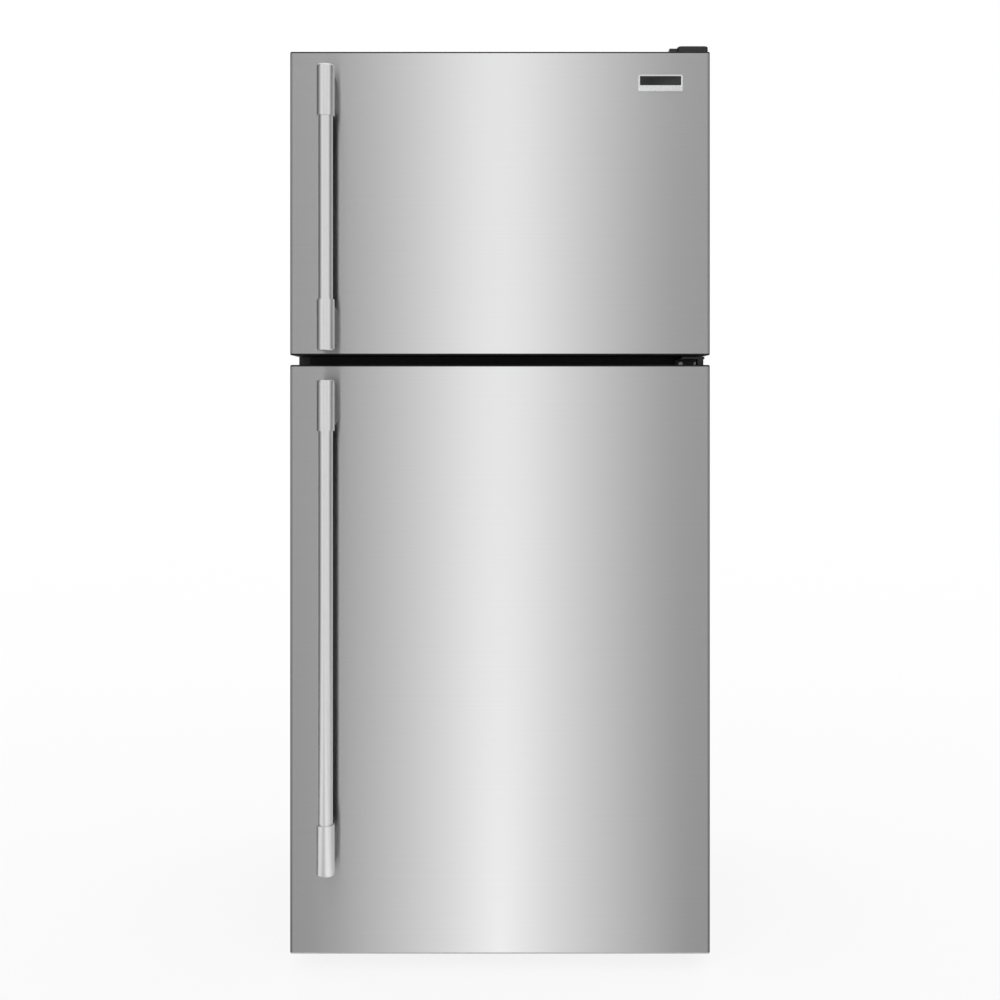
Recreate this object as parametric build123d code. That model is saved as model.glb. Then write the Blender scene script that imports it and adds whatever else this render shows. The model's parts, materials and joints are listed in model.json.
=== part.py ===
from build123d import *
import os

# Top freezer refrigerator: a painted cabinet, two stainless doors and the parts inside.
# Millimetres, Z up. X runs to the right and the doors face -Y.
# The origin is on the floor under the middle of the whole object.

# Overall sizes
CABINET_WIDTH = 756
CABINET_DEPTH = 648
DOOR_OVERHANG = 3
DOOR_THICKNESS = 70
GASKET_GAP = 12
DOOR_BOTTOM = 28
FRESH_DOOR_HEIGHT = 1069
DOOR_GAP = 17.5
FREEZER_DOOR_HEIGHT = 551
DOOR_TOP_CLEARANCE = 3
HANDLE_REACH = 62

# Cabinet walls
SHEET = 0.8
WRAPPER_BEND = 8
WRAPPER_RETURN = 20
CABINET_BOTTOM = 34
LINER = 2
LINER_CORNER = 14
SIDE_INSULATION = 48
TOP_INSULATION = 56.5
REAR_INSULATION = 54
STEP_INSULATION = 48
FLOOR_INSULATION = 50.5
MULLION_HALF = 36
MULLION_COVER_HEIGHT = 36

# Base
RAIL_BOTTOM = 12
RAIL_HEIGHT = 48
RAIL_WIDTH = 54
RAIL_WALL = 2
DECK_WALL = 1.5
ROLLER_RADIUS = 20
ROLLER_WIDTH = 26
ROLLER_SETBACK = 50
AXLE_RADIUS = 4
LEG_SETBACK = 30
FOOT_RADIUS = 17
FOOT_HEIGHT = 10
STUD_RADIUS = 5
STUD_TOP = 56
LEG_PLATE_BOTTOM = 36
LEG_PLATE_WALL = 6
NUT_RADIUS = 9
NUT_HEIGHT = 6
GRILLE_WALL = 3
GRILLE_HEIGHT = 38
GRILLE_SLOT_WIDTH = 6
GRILLE_SLOT_PITCH = 14
GRILLE_SLOT_HEIGHT = 15
GRILLE_RIM = 4

# Doors
DOOR_EDGE = 3
CAP_LIP = 3
CAP_CORNER = 2.5
CAP_PLUG = 18
SKIN_RETURN = 15
GASKET_INSET_SIDE = 19
GASKET_INSET_END = 8
GASKET_WIDTH = 18
DIKE_CLEARANCE = 8
DIKE_WIDTH = 18
DIKE_DEPTH = 20
BIN_DEPTH = 105
BIN_HEIGHT = 100
BIN_WALL = 3
BIN_CORNER = 20
FREEZER_BIN_RISE = 4
FREEZER_BIN_PITCH = 236
BIN_ABOVE_SHELF = 10
DAIRY_ABOVE_SHELF = 280
DAIRY_SHARE_GAP = 10
DAIRY_LID_WALL = 3
DAIRY_LID_DROP = 40
DAIRY_LID_GAP = 2
DAIRY_HINGE_RADIUS = 4
DAIRY_PIN_RADIUS = 2
DAIRY_PIN_LENGTH = 6

# Hinges
PIVOT_INSET = 14
PIVOT_SETBACK = 30
PIN_RADIUS = 4.5
PIN_ENGAGEMENT = 12
SOCKET_SPARE = 2
HINGE_PLATE = 4
HINGE_EDGE = 9
HINGE_LENGTH = 46
TOP_HINGE_REACH = 76
CENTER_TONGUE_DROP = 2
CENTER_PLATE_OVERLAP = 3
COLLAR_RADIUS = 7
BOTTOM_TONGUE_DROP = 3
SCREW_RADIUS = 2.5
SCREW_HEAD_RADIUS = 4
SCREW_HEAD_HEIGHT = 3
SCREW_PITCH = 28
SCREW_INSET = 12
COVER_HEIGHT = 12
COVER_WALL = 2
COVER_MARGIN = 5
COVER_CORNER = 8
COVER_TAIL_LENGTH = 14
COVER_TAIL_HEIGHT = 9.5

# Handles and badge
HANDLE_INSET = 71
BAR_RADIUS = 13
POST_RADIUS = 16
POST_LENGTH = 91
POST_ROUND = 4
PAD_WIDTH = 30
PAD_LENGTH = 80
SPIGOT_RADIUS = 9
SPIGOT_LENGTH = 12
FREEZER_HANDLE_LENGTH = 507.5
FREEZER_HANDLE_RISE = 6
FRESH_HANDLE_LENGTH = 880
FRESH_HANDLE_DROP = 28
BADGE_WIDTH = 80
BADGE_HEIGHT = 30
BADGE_WALL = 2
BADGE_CORNER = 3
BADGE_INSET = 90
BADGE_DROP = 57.5

# Inside the cabinet
SHELF_FRONT_SETBACK = 122
SHELF_BACK_CLEARANCE = 12
SHELF_SIDE_CLEARANCE = 4
SHELF_RIM = 18
SHELF_HEIGHT = 14
SHELF_PITCH = 250
SHELF_ABOVE_STEP = 30
SHELF_COUNT = 3
PANE_WALL = 4
PANE_SEAT = 6
SUPPORT_HEIGHT = 10
SUPPORT_REACH = 10
DRAWER_WALL = 2.5
DRAWER_CORNER = 12
CRISPER_HEIGHT = 150
CRISPER_FRONT_SETBACK = 114
CRISPER_BACK_CLEARANCE = 10
CRISPER_SIDE_CLEARANCE = 6
CRISPER_GAP = 8
CRISPER_LIP = 14
RUNNER_HEIGHT = 3
RUNNER_WIDTH = 10
RUNNER_INSET = 40
DELI_WIDTH = 288
DELI_HEIGHT = 76
DELI_DEPTH = 300
DELI_FLANGE = 8
DELI_FLANGE_WALL = 3
DELI_DROP = 18
RUNNER_WALL = 2.5
FREEZER_SHELF_RISE = 228
WIRE_RADIUS = 2
WIRE_FRAME_RADIUS = 3.5
WIRE_PITCH = 32
EVAPORATOR_SPACE = 77
EVAPORATOR_COVER_WALL = 3
VENT_WIDTH = 40
VENT_HEIGHT = 6
VENT_PITCH = 60
VENT_INSET = 22
VENT_COUNT = 9
COIL_WIDTH = 480
COIL_DEPTH = 44
COIL_HEIGHT = 200
COIL_RISE = 40
COIL_TUBE_RADIUS = 4
COIL_ROWS = 5
COIL_FIN_WALL = 1
COIL_FIN_COUNT = 17
COIL_STANDOFF = 12
HEATER_RADIUS = 5
HEATER_DROP = 16
EVAPORATOR_FAN_RADIUS = 50
EVAPORATOR_FAN_DROP = 95
FAN_HUB_RADIUS = 14
FAN_DEPTH = 14
FAN_BLADE_WALL = 2
FAN_BLADE_CHORD = 26
FAN_PITCH = 28
FAN_BLADES = 5
FAN_SHAFT_RADIUS = 2.5
MOTOR_RADIUS = 22
MOTOR_LENGTH = 34
MOTOR_GAP = 4
CONTROL_WIDTH = 400
CONTROL_DEPTH = 180
CONTROL_HEIGHT = 66
CONTROL_SETBACK = 132
CONTROL_EDGE = 10
KNOB_RADIUS = 19
KNOB_DEPTH = 16
KNOB_GRIP_WIDTH = 9
KNOB_GRIP_DEPTH = 8
KNOB_SPACING = 150
KNOB_SHAFT_RADIUS = 3
KNOB_SHAFT_LENGTH = 12
LENS_WIDTH = 150
LENS_DEPTH = 70
LENS_DROP = 14
LENS_CORNER = 10

# Machine compartment
MACHINE_DEPTH = 200
MACHINE_HEIGHT = 158.5
MACHINE_PANEL_WALL = 1.5
REAR_COVER_WALL = 1.5
REAR_COVER_RECESS = 6
LOUVRE_WIDTH = 60
LOUVRE_HEIGHT = 6
LOUVRE_PITCH = 14
LOUVRE_ROWS = 6
LOUVRE_COLUMNS = 4
LOUVRE_SPACING = 80
COMPRESSOR_RADIUS = 74
COMPRESSOR_HEIGHT = 112
COMPRESSOR_ROUND = 26
COMPRESSOR_X = 190
COMPRESSOR_PLATE = 3
COMPRESSOR_PLATE_WIDTH = 176
COMPRESSOR_PLATE_DEPTH = 116
GROMMET_RADIUS = 11
GROMMET_HEIGHT = 12
GROMMET_INSET = 14
PAN_WIDTH = 210
PAN_DEPTH = 150
PAN_HEIGHT = 22
PAN_WALL = 2
PAN_X = -232
CONDENSER_WIDTH = 150
CONDENSER_HEIGHT = 96
CONDENSER_DEPTH = 110
CONDENSER_TUBE_RADIUS = 3
CONDENSER_ROWS = 4
CONDENSER_COLUMNS = 4
CONDENSER_FIN_COUNT = 13
CONDENSER_PLATE = 2
CONDENSER_FAN_RADIUS = 52
CONDENSER_FAN_X = -70
CONDENSER_FAN_RISE = 74
MOTOR_BRACKET = 12
LINE_RADIUS = 3.2
LINE_BEND = 14
LINE_DROP = 14
LINE_STUB = 26
DRIER_RADIUS = 9
DRIER_LENGTH = 70
GLAND_X = -300
GLAND_RISE = 40
GLAND_RADIUS = 9
GLAND_FLANGE_RADIUS = 13
GLAND_FLANGE = 3
GLAND_BORE = 4

# Clearances
RUNNING_FIT = 0.08
SEAT_FIT = 0.2
SLIDE_FIT = 0.3

# Planes and heights worked out from the sizes above
HALF = CABINET_WIDTH / 2
DOOR_HALF = HALF + DOOR_OVERHANG
BACK = (CABINET_DEPTH + GASKET_GAP + DOOR_THICKNESS + HANDLE_REACH) / 2
CABINET_FRONT = BACK - CABINET_DEPTH
DOOR_BACK = CABINET_FRONT - GASKET_GAP
DOOR_FRONT = DOOR_BACK - DOOR_THICKNESS
FRESH_DOOR_TOP = DOOR_BOTTOM + FRESH_DOOR_HEIGHT
FREEZER_DOOR_BOTTOM = FRESH_DOOR_TOP + DOOR_GAP
FREEZER_DOOR_TOP = FREEZER_DOOR_BOTTOM + FREEZER_DOOR_HEIGHT
CABINET_TOP = FREEZER_DOOR_TOP + DOOR_TOP_CLEARANCE
FRESH_DOOR = (DOOR_BOTTOM, FRESH_DOOR_TOP)
FREEZER_DOOR = (FREEZER_DOOR_BOTTOM, FREEZER_DOOR_TOP)
DECK_BOTTOM = RAIL_BOTTOM + RAIL_HEIGHT
DECK_TOP = DECK_BOTTOM + DECK_WALL
INNER_HALF = HALF - SHEET
CAVITY_HALF = HALF - SIDE_INSULATION
CAVITY_BACK = BACK - REAR_INSULATION
MULLION_MIDDLE = (FRESH_DOOR_TOP + FREEZER_DOOR_BOTTOM) / 2
MULLION_COVER = (MULLION_MIDDLE - MULLION_COVER_HEIGHT / 2, MULLION_MIDDLE + MULLION_COVER_HEIGHT / 2)
FRESH_FLOOR = DECK_TOP + FLOOR_INSULATION
FRESH_CEILING = MULLION_MIDDLE - MULLION_HALF
FREEZER_FLOOR = MULLION_MIDDLE + MULLION_HALF
FREEZER_CEILING = CABINET_TOP - TOP_INSULATION
MACHINE_FRONT = BACK - MACHINE_DEPTH
MACHINE_TOP = DECK_TOP + MACHINE_HEIGHT
MACHINE_MIDDLE = BACK - MACHINE_DEPTH / 2
STEP_BACK = MACHINE_FRONT - STEP_INSULATION
STEP_TOP = MACHINE_TOP + STEP_INSULATION
FRAME_FRONT = CABINET_FRONT + LINER
RAIL_MIDDLE = INNER_HALF - RAIL_WIDTH / 2
PIVOT_X = DOOR_HALF - PIVOT_INSET
PIVOT_Y = DOOR_FRONT + PIVOT_SETBACK
DIKE_HALF = CAVITY_HALF - DIKE_CLEARANCE
DIKE_BACK = CABINET_FRONT + DIKE_DEPTH
BIN_HALF = DIKE_HALF - DIKE_WIDTH - SEAT_FIT
BIN_BACK = DOOR_BACK + BIN_DEPTH
HANDLE_X = -DOOR_HALF + HANDLE_INSET
HANDLE_Y = DOOR_FRONT - HANDLE_REACH + POST_RADIUS
SHELF_TOPS = [STEP_TOP + SHELF_ABOVE_STEP + SHELF_PITCH * level for level in range(SHELF_COUNT)]
SHELF_HALF = CAVITY_HALF - SHELF_SIDE_CLEARANCE
SHELF_FRONT = CABINET_FRONT + SHELF_FRONT_SETBACK
SHELF_BACK = CAVITY_BACK - SHELF_BACK_CLEARANCE
DAIRY_FLOOR = SHELF_TOPS[1] + DAIRY_ABOVE_SHELF
DAIRY_RIGHT = -DAIRY_SHARE_GAP / 2
DAIRY_HINGE_Y = DOOR_BACK + DAIRY_HINGE_RADIUS + DAIRY_LID_GAP
DAIRY_HINGE_Z = DAIRY_FLOOR + BIN_HEIGHT + DAIRY_HINGE_RADIUS + DAIRY_LID_GAP
CRISPER_FLOOR = FRESH_FLOOR + RUNNER_HEIGHT + SLIDE_FIT
CRISPER_FRONT = CABINET_FRONT + CRISPER_FRONT_SETBACK
CRISPER_BACK = STEP_BACK - CRISPER_BACK_CLEARANCE
CRISPER_OUTER = CAVITY_HALF - CRISPER_SIDE_CLEARANCE
DELI_TOP = SHELF_TOPS[1] - SHELF_HEIGHT - DELI_DROP
COVER_PLANE = CAVITY_BACK - EVAPORATOR_SPACE
FAN_Z = FREEZER_CEILING - EVAPORATOR_FAN_DROP
CONTROL_FRONT = CABINET_FRONT + CONTROL_SETBACK
CONTROL_BOTTOM = FRESH_CEILING - CONTROL_HEIGHT
KNOB_Z = CONTROL_BOTTOM + CONTROL_HEIGHT / 2
PLATE_BOTTOM = DECK_TOP + GROMMET_HEIGHT
COMPRESSOR_BOTTOM = PLATE_BOTTOM + COMPRESSOR_PLATE
CONDENSER_BOTTOM = DECK_TOP + PAN_WALL
CONDENSER_FAN_Z = DECK_TOP + CONDENSER_FAN_RISE
LINE_Z = MACHINE_TOP - MACHINE_PANEL_WALL - LINE_DROP
COVER_FACE = BACK - REAR_COVER_RECESS
GLAND_Z = DECK_TOP + GLAND_RISE
STAND = (Align.CENTER, Align.CENTER, Align.MIN)
CORNER = (Align.MIN, Align.MIN, Align.MIN)
DOOR_PLANE = Plane.XZ.offset(-DOOR_FRONT)


def slab(x, y, z):
    """Block over three (low, high) ranges."""
    return Pos(x[0], y[0], z[0]) * Box(x[1] - x[0], y[1] - y[0], z[1] - z[0], align=CORNER)


def span(half):
    """Range centred on zero."""
    return (-half, half)


def around(middle, width):
    """Range of a width about its middle."""
    return (middle - width / 2, middle + width / 2)


def rod_z(x, y, z, radius):
    """Upright rod over a range of Z."""
    return Pos(x, y, z[0]) * Cylinder(radius, z[1] - z[0], align=STAND)


def rod_x(x, y, z, radius):
    """Rod along a range of X."""
    return Pos(x[0], y, z) * Rot(0, 90, 0) * Cylinder(radius, x[1] - x[0], align=STAND)


def rod_y(x, y, z, radius):
    """Rod along a range of Y."""
    return Pos(x, y[0], z) * Rot(-90, 0, 0) * Cylinder(radius, y[1] - y[0], align=STAND)


def joined(solids):
    """One solid from pieces that touch or overlap."""
    first, *rest = solids
    return first.fuse(*rest).clean() if rest else first


def group(solids):
    """Separate solids in one node."""
    return Compound(children=list(solids))


def round_upright(block, radius, end):
    """Round a block's upright edges at its front (0) or back (-1)."""
    return fillet(block.edges().filter_by(Axis.Z).group_by(Axis.Y)[end], radius)


def round_top(block, radius):
    """Round a block's top edges that run front to back."""
    return fillet(block.edges().filter_by(Axis.Y).group_by(Axis.Z)[-1], radius)


def ring_y(x_half, z, width, y):
    """Upright rectangular ring over a range of Y."""
    inner = slab(span(x_half - width), y, (z[0] + width, z[1] - width))
    return slab(span(x_half), y, z) - inner


def tray(x, y, z, wall, corner, end):
    """Open-topped box with its upright edges rounded at one end."""
    outer = round_upright(slab(x, y, z), corner, end)
    room = slab((x[0] + wall, x[1] - wall), (y[0] + wall, y[1] - wall), (z[0] + wall, z[1]))
    return outer - round_upright(room, corner - wall, end)


# Cabinet


def cabinet_wrapper():
    """Folded sheet over the top and both sides, with a return round the front opening."""
    outer = slab(span(HALF), (CABINET_FRONT, BACK), (CABINET_BOTTOM, CABINET_TOP))
    inner = slab(span(INNER_HALF), (CABINET_FRONT + SHEET, BACK), (CABINET_BOTTOM, CABINET_TOP - SHEET))
    mouth_top = CABINET_TOP - WRAPPER_RETURN
    front = (CABINET_FRONT, CABINET_FRONT + SHEET)
    mouth = slab(span(HALF - WRAPPER_RETURN), front, (CABINET_BOTTOM, mouth_top))
    return round_top(outer, WRAPPER_BEND) - round_top(inner, WRAPPER_BEND - SHEET) - mouth


def rear_panel():
    """Flat sheet that closes the back above the machine compartment."""
    sheet = slab(span(INNER_HALF), (BACK - SHEET, BACK), (MACHINE_TOP, CABINET_TOP - SHEET))
    return round_top(sheet, WRAPPER_BEND)


def fresh_food_space(grow, corner):
    """Stepped space of the fresh food compartment, grown by a wall."""
    floor = FRESH_FLOOR - grow
    ceiling = FRESH_CEILING + grow
    back = CAVITY_BACK + grow
    step_back = STEP_BACK + grow
    step_top = STEP_TOP - grow
    ledge = [(step_back, floor), (step_back, step_top), (back, step_top)]
    outline = [(CABINET_FRONT, floor), *ledge, (back, ceiling), (CABINET_FRONT, ceiling)]
    return compartment(outline, [ledge[0], ledge[2], outline[4]], grow, corner)


def freezer_space(grow, corner):
    """Space of the freezer compartment, grown by a wall."""
    floor = FREEZER_FLOOR - grow
    ceiling = FREEZER_CEILING + grow
    back = CAVITY_BACK + grow
    outline = [(CABINET_FRONT, floor), (back, floor), (back, ceiling), (CABINET_FRONT, ceiling)]
    return compartment(outline, outline[1:3], grow, corner)


def compartment(outline, rounded, grow, corner):
    """Side outline drawn in Y and Z, rounded at some of its points and run across the cabinet."""
    face = Polygon(*outline, align=None)
    if corner:
        picked = [v for v in face.vertices() for p in rounded if abs(v.X - p[0]) + abs(v.Y - p[1]) < SHEET]
        face = fillet(picked, corner)
    return extrude(Plane.YZ * face, amount=CAVITY_HALF + grow, both=True)


def cabinet_foam():
    """Insulation between the wrapper, the liners and the machine compartment."""
    block = slab(span(INNER_HALF), (FRAME_FRONT, BACK - SHEET), (DECK_TOP, CABINET_TOP - SHEET))
    machine = slab(span(HALF), (MACHINE_FRONT, BACK), (DECK_TOP, MACHINE_TOP))
    return round_top(block, WRAPPER_BEND) - fresh_food_space(LINER, 0) - freezer_space(LINER, 0) - machine


def liner(space, z):
    """Moulded liner of a compartment with the flange round its mouth."""
    flange = slab(span(HALF - WRAPPER_RETURN), (CABINET_FRONT, FRAME_FRONT), z)
    return space(LINER, LINER_CORNER + LINER) + flange - space(0, LINER_CORNER)


def mullion_cover():
    """Dark strip on the cabinet front between the two compartments."""
    return slab(span(HALF - WRAPPER_RETURN), (CABINET_FRONT, FRAME_FRONT), MULLION_COVER)


# Base


def rail(side):
    """Channel open at its underside, with its axle pin and levelling leg plate."""
    middle = side * RAIL_MIDDLE
    length = (FRAME_FRONT, BACK - RAIL_WALL)
    outer = slab(around(middle, RAIL_WIDTH), length, (RAIL_BOTTOM, DECK_BOTTOM))
    hollow = slab(around(middle, RAIL_WIDTH - 2 * RAIL_WALL), length, (RAIL_BOTTOM, DECK_BOTTOM - RAIL_WALL))
    nose_y = (FRAME_FRONT, FRAME_FRONT + RAIL_WALL)
    nose = slab(around(middle, RAIL_WIDTH), nose_y, (RAIL_BOTTOM, DECK_BOTTOM))
    axle = rod_x(around(middle, RAIL_WIDTH), BACK - ROLLER_SETBACK, ROLLER_RADIUS, AXLE_RADIUS)
    plate_top = LEG_PLATE_BOTTOM + LEG_PLATE_WALL
    leg_y = CABINET_FRONT + LEG_SETBACK
    plate_z = (LEG_PLATE_BOTTOM, plate_top)
    plate = slab(around(middle, RAIL_WIDTH), around(leg_y, 2 * FOOT_RADIUS), plate_z)
    hole = rod_z(middle, leg_y, plate_z, STUD_RADIUS + RUNNING_FIT)
    return (outer - hollow) + nose + axle + (plate - hole)


def base_frame():
    """Welded frame: two rails, a front cross member and the deck on top of them."""
    deck = slab(span(INNER_HALF), (FRAME_FRONT, BACK - RAIL_WALL), (DECK_BOTTOM, DECK_TOP))
    cross = slab(span(INNER_HALF), (FRAME_FRONT, FRAME_FRONT + RAIL_WALL), (CABINET_BOTTOM, DECK_BOTTOM))
    return joined([deck, cross, rail(-1), rail(1)])


def toe_grille():
    """Slotted panel behind the front cross member."""
    half = RAIL_MIDDLE - RAIL_WIDTH / 2 - SEAT_FIT
    back_of_cross = FRAME_FRONT + RAIL_WALL
    depth = (back_of_cross, back_of_cross + GRILLE_WALL)
    panel = slab(span(half), depth, (RAIL_BOTTOM, RAIL_BOTTOM + GRILLE_HEIGHT))
    slot_z = (RAIL_BOTTOM + GRILLE_RIM, RAIL_BOTTOM + GRILLE_RIM + GRILLE_SLOT_HEIGHT)
    count = int((2 * half - GRILLE_SLOT_PITCH) / GRILLE_SLOT_PITCH)
    starts = [(i - (count - 1) / 2) * GRILLE_SLOT_PITCH for i in range(count)]
    return panel - [slab(around(x, GRILLE_SLOT_WIDTH), depth, slot_z) for x in starts]


def roller(side):
    """Rear roller on its axle pin."""
    x = around(side * RAIL_MIDDLE, ROLLER_WIDTH)
    y = BACK - ROLLER_SETBACK
    tread = rod_x(x, y, ROLLER_RADIUS, ROLLER_RADIUS)
    return tread - rod_x(x, y, ROLLER_RADIUS, AXLE_RADIUS + RUNNING_FIT)


def leveling_leg(side):
    """Foot with its stud and a hexagon to turn it by."""
    x = side * RAIL_MIDDLE
    y = CABINET_FRONT + LEG_SETBACK
    foot = rod_z(x, y, (0, FOOT_HEIGHT), FOOT_RADIUS)
    nut = Pos(x, y, FOOT_HEIGHT) * extrude(RegularPolygon(NUT_RADIUS, 6), amount=NUT_HEIGHT)
    return joined([foot, nut, rod_z(x, y, (FOOT_HEIGHT, STUD_TOP), STUD_RADIUS)])


# Doors


def door_block(inset, back, z):
    """Door plan drawn in by an inset, with rounded front edges, over a range of Z."""
    block = slab(span(DOOR_HALF - inset), (DOOR_FRONT + inset, back), z)
    return round_upright(block, DOOR_EDGE, 0)


def door_skin(z):
    """Stainless sheet wrapped round the front and sides, with returns at the back."""
    height = (z[0] + CAP_LIP, z[1] - CAP_LIP)
    fold = DOOR_BACK - SHEET
    mouth = slab(span(DOOR_HALF - SKIN_RETURN), (fold, DOOR_BACK), height)
    return door_block(0, DOOR_BACK, height) - door_block(SHEET, fold, height) - mouth


def door_cap(z, top):
    """End cap of a door: a lip over the skin, a plug inside it and the hinge pin's socket."""
    lip = (z[1] - CAP_LIP, z[1]) if top else (z[0], z[0] + CAP_LIP)
    plug = (lip[0] - CAP_PLUG, lip[0]) if top else (lip[1], lip[1] + CAP_PLUG)
    depth = PIN_ENGAGEMENT + SOCKET_SPARE
    socket = (z[1] - depth, z[1]) if top else (z[0], z[0] + depth)
    edge = door_block(0, DOOR_BACK, lip)
    corners = edge.edges().filter_by(Axis.Y).group_by(Axis.Z)[-1 if top else 0]
    cap = fillet(corners, CAP_CORNER) + door_block(SHEET + SEAT_FIT, DOOR_BACK - LINER, plug)
    return cap - rod_z(PIVOT_X, PIVOT_Y, socket, PIN_RADIUS + RUNNING_FIT)


def door_caps(z):
    """Both end caps of a door."""
    return group([door_cap(z, True), door_cap(z, False)])


def door_foam(z):
    """Insulation inside a door."""
    ends = CAP_LIP + CAP_PLUG
    return door_block(SHEET + SEAT_FIT, DOOR_BACK - LINER, (z[0] + ends, z[1] - ends))


def door_liner(z, room):
    """Inner panel of a door with the raised dike that stands in the compartment's mouth."""
    height = (z[0] + CAP_LIP, z[1] - CAP_LIP)
    plate = slab(span(DOOR_HALF - SKIN_RETURN), (DOOR_BACK - LINER, DOOR_BACK), height)
    dike_z = (room[0] + DIKE_CLEARANCE, room[1] - DIKE_CLEARANCE)
    return plate + ring_y(DIKE_HALF, dike_z, DIKE_WIDTH, (DOOR_BACK, DIKE_BACK))


def door_gasket(z):
    """Magnetic seal round the back of a door."""
    ends = (z[0] + GASKET_INSET_END, z[1] - GASKET_INSET_END)
    depth = (DOOR_BACK, CABINET_FRONT - SLIDE_FIT)
    return ring_y(DOOR_HALF - GASKET_INSET_SIDE, ends, GASKET_WIDTH, depth)


def door_bin(x, floor):
    """Open bin on the back of a door."""
    return tray(x, (DOOR_BACK, BIN_BACK), (floor, floor + BIN_HEIGHT), BIN_WALL, BIN_CORNER, -1)


def freezer_door_bins():
    """Two full-width bins of the freezer door."""
    low = FREEZER_FLOOR + DIKE_CLEARANCE + DIKE_WIDTH + FREEZER_BIN_RISE
    return group(door_bin(span(BIN_HALF), floor) for floor in (low, low + FREEZER_BIN_PITCH))


def fresh_food_door_bins():
    """Two full-width bins of the fresh food door, and the dairy bin with a short one beside it."""
    full = [door_bin(span(BIN_HALF), top + BIN_ABOVE_SHELF) for top in SHELF_TOPS[:2]]
    return group([*full, dairy_bin(), door_bin((-DAIRY_RIGHT, BIN_HALF), DAIRY_FLOOR)])


def dairy_bin():
    """Bin with a pin at each end for its lid."""
    box = door_bin((-BIN_HALF, DAIRY_RIGHT), DAIRY_FLOOR)
    ends = [(-BIN_HALF, BIN_WALL), (DAIRY_RIGHT - BIN_WALL, BIN_WALL)]
    return joined([box, *[solid for x, wall in ends for solid in lid_ear(x, wall)]])


def lid_ear(x, wall):
    """Ear on a dairy bin's end wall and the pin that the lid turns on."""
    reach = 2 * DAIRY_HINGE_RADIUS
    ear = slab((x, x + wall), (DOOR_BACK, DOOR_BACK + reach + DAIRY_LID_GAP),
               (DAIRY_FLOOR + BIN_HEIGHT, DAIRY_HINGE_Z + DAIRY_HINGE_RADIUS))
    pin_x = (x + wall, x + wall + DAIRY_PIN_LENGTH) if x == -BIN_HALF else (x - DAIRY_PIN_LENGTH, x)
    return [ear, rod_x(pin_x, DAIRY_HINGE_Y, DAIRY_HINGE_Z, DAIRY_PIN_RADIUS)]


def dairy_lid():
    """Flip-up lid: a hinge barrel, a flat top and a front drop."""
    x = (-BIN_HALF + BIN_WALL + SLIDE_FIT, DAIRY_RIGHT - BIN_WALL - SLIDE_FIT)
    barrel = rod_x(x, DAIRY_HINGE_Y, DAIRY_HINGE_Z, DAIRY_HINGE_RADIUS)
    top_z = (DAIRY_HINGE_Z + DAIRY_HINGE_RADIUS - DAIRY_LID_WALL, DAIRY_HINGE_Z + DAIRY_HINGE_RADIUS)
    face = BIN_BACK + DAIRY_LID_GAP
    top = slab(x, (DAIRY_HINGE_Y, face + DAIRY_LID_WALL), top_z)
    drop = slab(x, (face, face + DAIRY_LID_WALL), (top_z[1] - DAIRY_LID_DROP, top_z[1]))
    bore = rod_x(x, DAIRY_HINGE_Y, DAIRY_HINGE_Z, DAIRY_PIN_RADIUS + RUNNING_FIT)
    return joined([barrel, top, drop]) - bore


# Hinges

LEAF_X = (PIVOT_X + HINGE_EDGE - HINGE_LENGTH, PIVOT_X + HINGE_EDGE)
LEAF_FRONT = PIVOT_Y - HINGE_EDGE
TONGUE_TOP = FREEZER_DOOR_BOTTOM - CENTER_TONGUE_DROP
CENTER_PLATE = (FRESH_DOOR_TOP - CENTER_PLATE_OVERLAP, FREEZER_DOOR_BOTTOM + CENTER_PLATE_OVERLAP)
BOTTOM_TONGUE_TOP = DOOR_BOTTOM - BOTTOM_TONGUE_DROP
CENTER_SCREW_Z = (CENTER_PLATE[0] + TONGUE_TOP - HINGE_PLATE) / 2
BOTTOM_SCREW_Z = (RAIL_BOTTOM + BOTTOM_TONGUE_TOP - HINGE_PLATE) / 2
SCREW_XS = [around(sum(LEAF_X) / 2, SCREW_PITCH)[side] for side in (0, 1)]
TOP_SCREW_YS = [CABINET_FRONT + SCREW_INSET, CABINET_FRONT + TOP_HINGE_REACH - SCREW_INSET]
UPRIGHT_SCREWS = [(CABINET_FRONT - HINGE_PLATE, CENTER_SCREW_Z), (FRAME_FRONT - HINGE_PLATE, BOTTOM_SCREW_Z)]


def pin(z):
    """Hinge pin on the doors' axis."""
    return rod_z(PIVOT_X, PIVOT_Y, z, PIN_RADIUS)


def tongue(top):
    """Forward plate of a hinge that carries its pin, rounded at the front."""
    plate = slab(LEAF_X, (LEAF_FRONT, CABINET_FRONT), (top - HINGE_PLATE, top))
    return round_upright(plate, HINGE_EDGE - SEAT_FIT, 0)


def upright_screw_holes(face, z):
    """Holes for the two screws of a hinge's upright flange."""
    depth = (face, face + HINGE_PLATE)
    return [rod_y(x, depth, z, SCREW_RADIUS + SEAT_FIT) for x in SCREW_XS]


def top_hinge():
    """Leaf screwed on the cabinet's top with the upper pin."""
    top = CABINET_TOP + HINGE_PLATE
    leaf = slab(LEAF_X, (LEAF_FRONT, CABINET_FRONT + TOP_HINGE_REACH), (CABINET_TOP, top))
    leaf = round_upright(leaf, HINGE_EDGE - SEAT_FIT, 0)
    holes = [rod_z(x, y, (CABINET_TOP, top), SCREW_RADIUS + SEAT_FIT) for x in SCREW_XS for y in TOP_SCREW_YS]
    return leaf + pin((FREEZER_DOOR_TOP - PIN_ENGAGEMENT, CABINET_TOP)) - holes


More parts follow.
